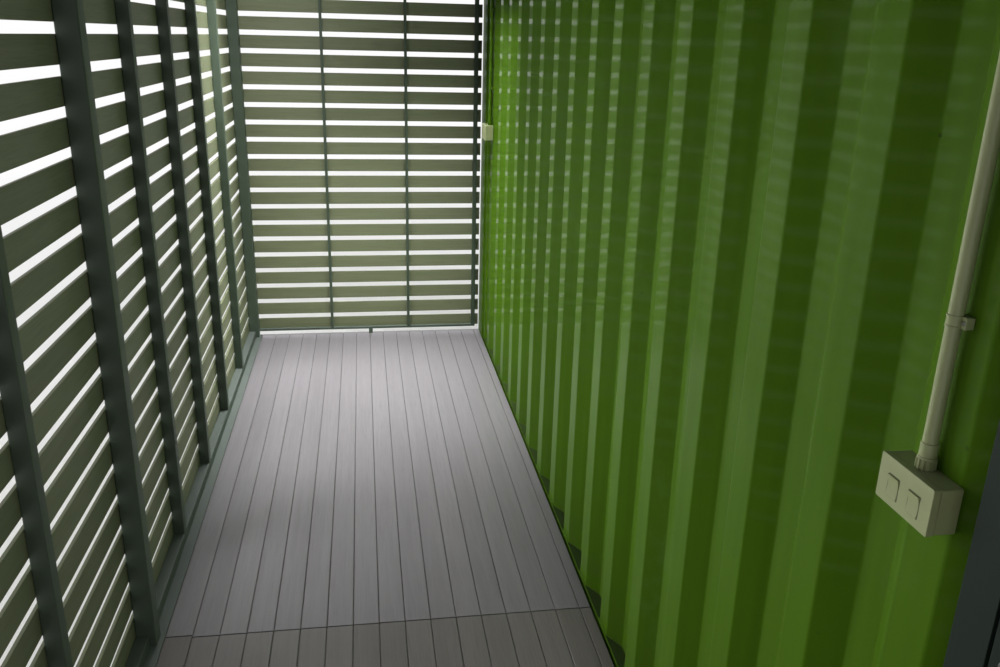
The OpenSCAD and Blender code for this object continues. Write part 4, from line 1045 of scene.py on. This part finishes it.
HINGE_PLATE_T = 3
HINGE_SCREW_D = 7
HINGE_SCREW_H = 1.8
HINGE_SCREW_IN = (10, 22)
hinge_screws = {"side_door_hinges": ("cabin", 1), "side_door_hinge_leaves": ("side_door", -1)}
for name, (body, side) in hinge_screws.items():
    heads = Shape()
    for low, high in solids(name):
        edge = low.y if side > 0 else high.y
        for share in (0.25, 0.75):
            for inwards, part in zip(HINGE_SCREW_IN, (share, 1 - share)):
                at = (high.x - HINGE_PLATE_T, edge + side * inwards, low.z + part * (high.z - low.z))
                heads.screw(at, (-1, 0, 0), HINGE_SCREW_D, HINGE_SCREW_H)
    heads.finish(name + "_screws", "screw_metal", body=body, slot="door_paint")


# Cargo doors: their rubber edges

RUBBER_W = 16
RUBBER_OUT = 4
RUBBER_IN = 6
RUBBER_RIM = 5
RUBBER_EDGE = 1.5
rubber = Shape()
for low, high in ((left_lo, left_hi), (right_lo, right_hi)):
    around = (low.z - RUBBER_RIM, low.x - RUBBER_RIM, high.z + RUBBER_RIM, high.x + RUBBER_RIM)
    rubber.border(around, RUBBER_W, "y", low.y - RUBBER_OUT, low.y + RUBBER_IN, RUBBER_EDGE)
rubber.finish("cargo_door_rubber", "rubber", slot="container_paint")


# Deck roof: screws through its ribs into the beams

SHEET_PITCH = 200
SHEET_RISE = 30
SCREW_IN = 30
WASHER = [(11, -1), (11, 1.2), (9, 2.4), (4, 2.6)]
WASHER_SEAT = 2
ROOF_BOLT_W = 8
ROOF_BOLT_H = 5
slope = math.asin((sheet_hi.z - sheet_lo.z - SHEET_RISE) / (sheet_hi.x - sheet_lo.x))
up = (-math.sin(slope), 0, math.cos(slope))
ribs = int(boards_hi.y / SHEET_PITCH - 0.5)
roofing = Shape()
for x in (sheet_lo.x + SCREW_IN, sheet_hi.x - SCREW_IN):
    z = sheet_hi.z - (sheet_hi.x - x) * math.tan(slope)
    for i in range(-ribs, ribs + 1):
        at = Vector((x, i * SHEET_PITCH, z))
        roofing.lathe(WASHER, at, up, sides=16, paint=1)
        roofing.bolt(at + Vector((0, 0, WASHER_SEAT)), up, ROOF_BOLT_W, ROOF_BOLT_H)
roofing.finish("roof_screws", ("screw_metal", "rubber"), slot="roof_sheet")


# Planks of the cabin's floor

PLANKS = 12
PLANK_GAP = 1.5
PLANK_ROUND = 1.5
planks = Shape()
plank_w = (floor_hi.x - floor_lo.x + PLANK_GAP) / PLANKS
for i in range(PLANKS):
    x = floor_lo.x + i * plank_w
    corner = (x + plank_w - PLANK_GAP, floor_hi.y, floor_hi.z)
    planks.block((x, floor_lo.y, floor_lo.z), corner, PLANK_ROUND, tone_of(i, 2, 2))
planks.finish("cabin_floor", "floor_board", slot="floor_board", stands_for=["cabin_floor"])


# Light, floor and backdrop

SKY_BEHIND = 0.5
SKY_AHEAD = 1.0
BACKDROP = 1.0
FLOOR_SIZE = 120000
FADE_FROM = 5500
FADE_TO = 13000
LOUVRE_FIRST = -2300
LOUVRE_PITCH = 950
LOUVRE_IN = 130
LOUVRE_Z = 1180
LOUVRE_SIZE = (320, 1700)
LOUVRE_AIM = (1, -1, -0.12)
LOUVRE_POWER = (1, 2, 5, 10, 13, 8)
LOUVRE_SPREAD = 130


def seen_directly(tree):
    """1 for the camera, in reflections and through glass."""
    path = tree.nodes.new("ShaderNodeLightPath")
    seen = path.outputs["Is Camera Ray"]
    for kind in ("Is Glossy Ray", "Is Transmission Ray"):
        either = tree.nodes.new("ShaderNodeMath")
        either.operation = "MAXIMUM"
        tree.links.new(seen, either.inputs[0])
        tree.links.new(path.outputs[kind], either.inputs[1])
        seen = either.outputs[0]
    return seen


def make_world():
    """Light that is weaker from behind the camera, and a white backdrop, also in reflections."""
    world = bpy.data.worlds.new("world")
    world.use_nodes = True
    tree = world.node_tree
    background = tree.nodes["Background"]
    background.inputs["Color"].default_value = (1, 1, 1, 1)
    seen = seen_directly(tree)
    way = tree.nodes.new("ShaderNodeSeparateXYZ")
    tree.links.new(tree.nodes.new("ShaderNodeTexCoord").outputs["Generated"], way.inputs[0])
    sky = tree.nodes.new("ShaderNodeMapRange")
    sky.inputs["From Min"].default_value = -1
    sky.inputs["To Min"].default_value = SKY_BEHIND
    sky.inputs["To Max"].default_value = SKY_AHEAD
    tree.links.new(way.outputs["Y"], sky.inputs["Value"])
    level = tree.nodes.new("ShaderNodeMapRange")
    level.inputs["To Max"].default_value = BACKDROP
    tree.links.new(sky.outputs[0], level.inputs["To Min"])
    tree.links.new(seen, level.inputs["Value"])
    tree.links.new(level.outputs[0], background.inputs["Strength"])
    scene.world = world


def make_floor():
    """A pale floor that fades into the white backdrop."""
    p = Paint("floor_pale", (0.86, 0.86, 0.85), 0.8)
    p.vary(p.noise(0.6, 4), 0.98, 1.02)
    material = p.done()
    away = p.add("VectorMath", {"operation": "LENGTH"})
    p.feed(away.inputs[0], p.place)
    fade = p.times(p.ramp(away.outputs["Value"], FADE_FROM * MM, FADE_TO * MM), seen_directly(p.tree))
    white = p.add("Emission", Strength=BACKDROP)
    mixed = p.add("MixShader", Fac=fade)
    p.feed(mixed.inputs[1], p.shader.outputs[0])
    p.feed(mixed.inputs[2], white.outputs[0])
    p.feed(p.tree.nodes["Material Output"].inputs["Surface"], mixed.outputs[0])
    half = FLOOR_SIZE / 2
    mesh = bpy.data.meshes.new("floor")
    corners = [(-half, -half), (half, -half), (half, half), (-half, half)]
    mesh.from_pydata([(x * MM, y * MM, 0) for x, y in corners], [], [(0, 1, 2, 3)])
    mesh.materials.append(material)
    floor = bpy.data.objects.new("floor", mesh)
    scene.collection.objects.link(floor)


def soft_light(name, at, aim, size, power, spread=180):
    """A rectangular lamp that shows only by its light. Its power is in watts and its spread in degrees."""
    data = bpy.data.lights.new(name, "AREA")
    data.shape = "RECTANGLE"
    data.size, data.size_y = size[0] * MM, size[1] * MM
    data.energy = power
    data.spread = math.radians(spread)
    lamp = bpy.data.objects.new(name, data)
    lamp.location = Vector(at) * MM
    lamp.rotation_euler = Vector(aim).to_track_quat("-Z", "Y").to_euler()
    lamp.visible_camera = False
    lamp.visible_glossy = False
    lamp.visible_transmission = False
    scene.collection.objects.link(lamp)


make_world()
make_floor()
deck_mid = (posts_lo.x + x_wall) / 2
for i, power in enumerate(LOUVRE_POWER):
    soft_light(f"louvre_{i}", at=(posts_hi.x + LOUVRE_IN, LOUVRE_FIRST + i * LOUVRE_PITCH, LOUVRE_Z),
               aim=LOUVRE_AIM, size=LOUVRE_SIZE, power=power, spread=LOUVRE_SPREAD)
soft_light("deck_ceiling", at=(deck_mid - 40, 2200, posts_hi.z - 30), aim=(0.001, 0, -1), size=(800, 1400),
           power=46, spread=84)
soft_light("end_louvre", at=(deck_mid, slats_end_lo.y - 170, 1400), aim=(0, -1, -0.1), size=(1200, 1800),
           power=12, spread=120)
soft_light("end_wash", at=(deck_mid - 350, 1900, 2000), aim=(-0.2, 1, 0.05), size=(400, 800),
           power=4, spread=110)
soft_light("wall_bounce", at=(x_wall - 40, 300, 1250), aim=(-1, 0, 0), size=(5200, 1900), power=14)
soft_light("key", at=(9000, -3500, 8500), aim=(-1, 0.35, -0.85), size=(6000, 6000), power=650)
soft_light("near_end", at=(3500, -10500, 4500), aim=(-0.25, 1, -0.35), size=(8000, 5000), power=200)
soft_light("fill", at=(-9000, 500, 6000), aim=(1, 0, -0.6), size=(7000, 5000), power=300)

scene.view_settings.view_transform = "Standard"
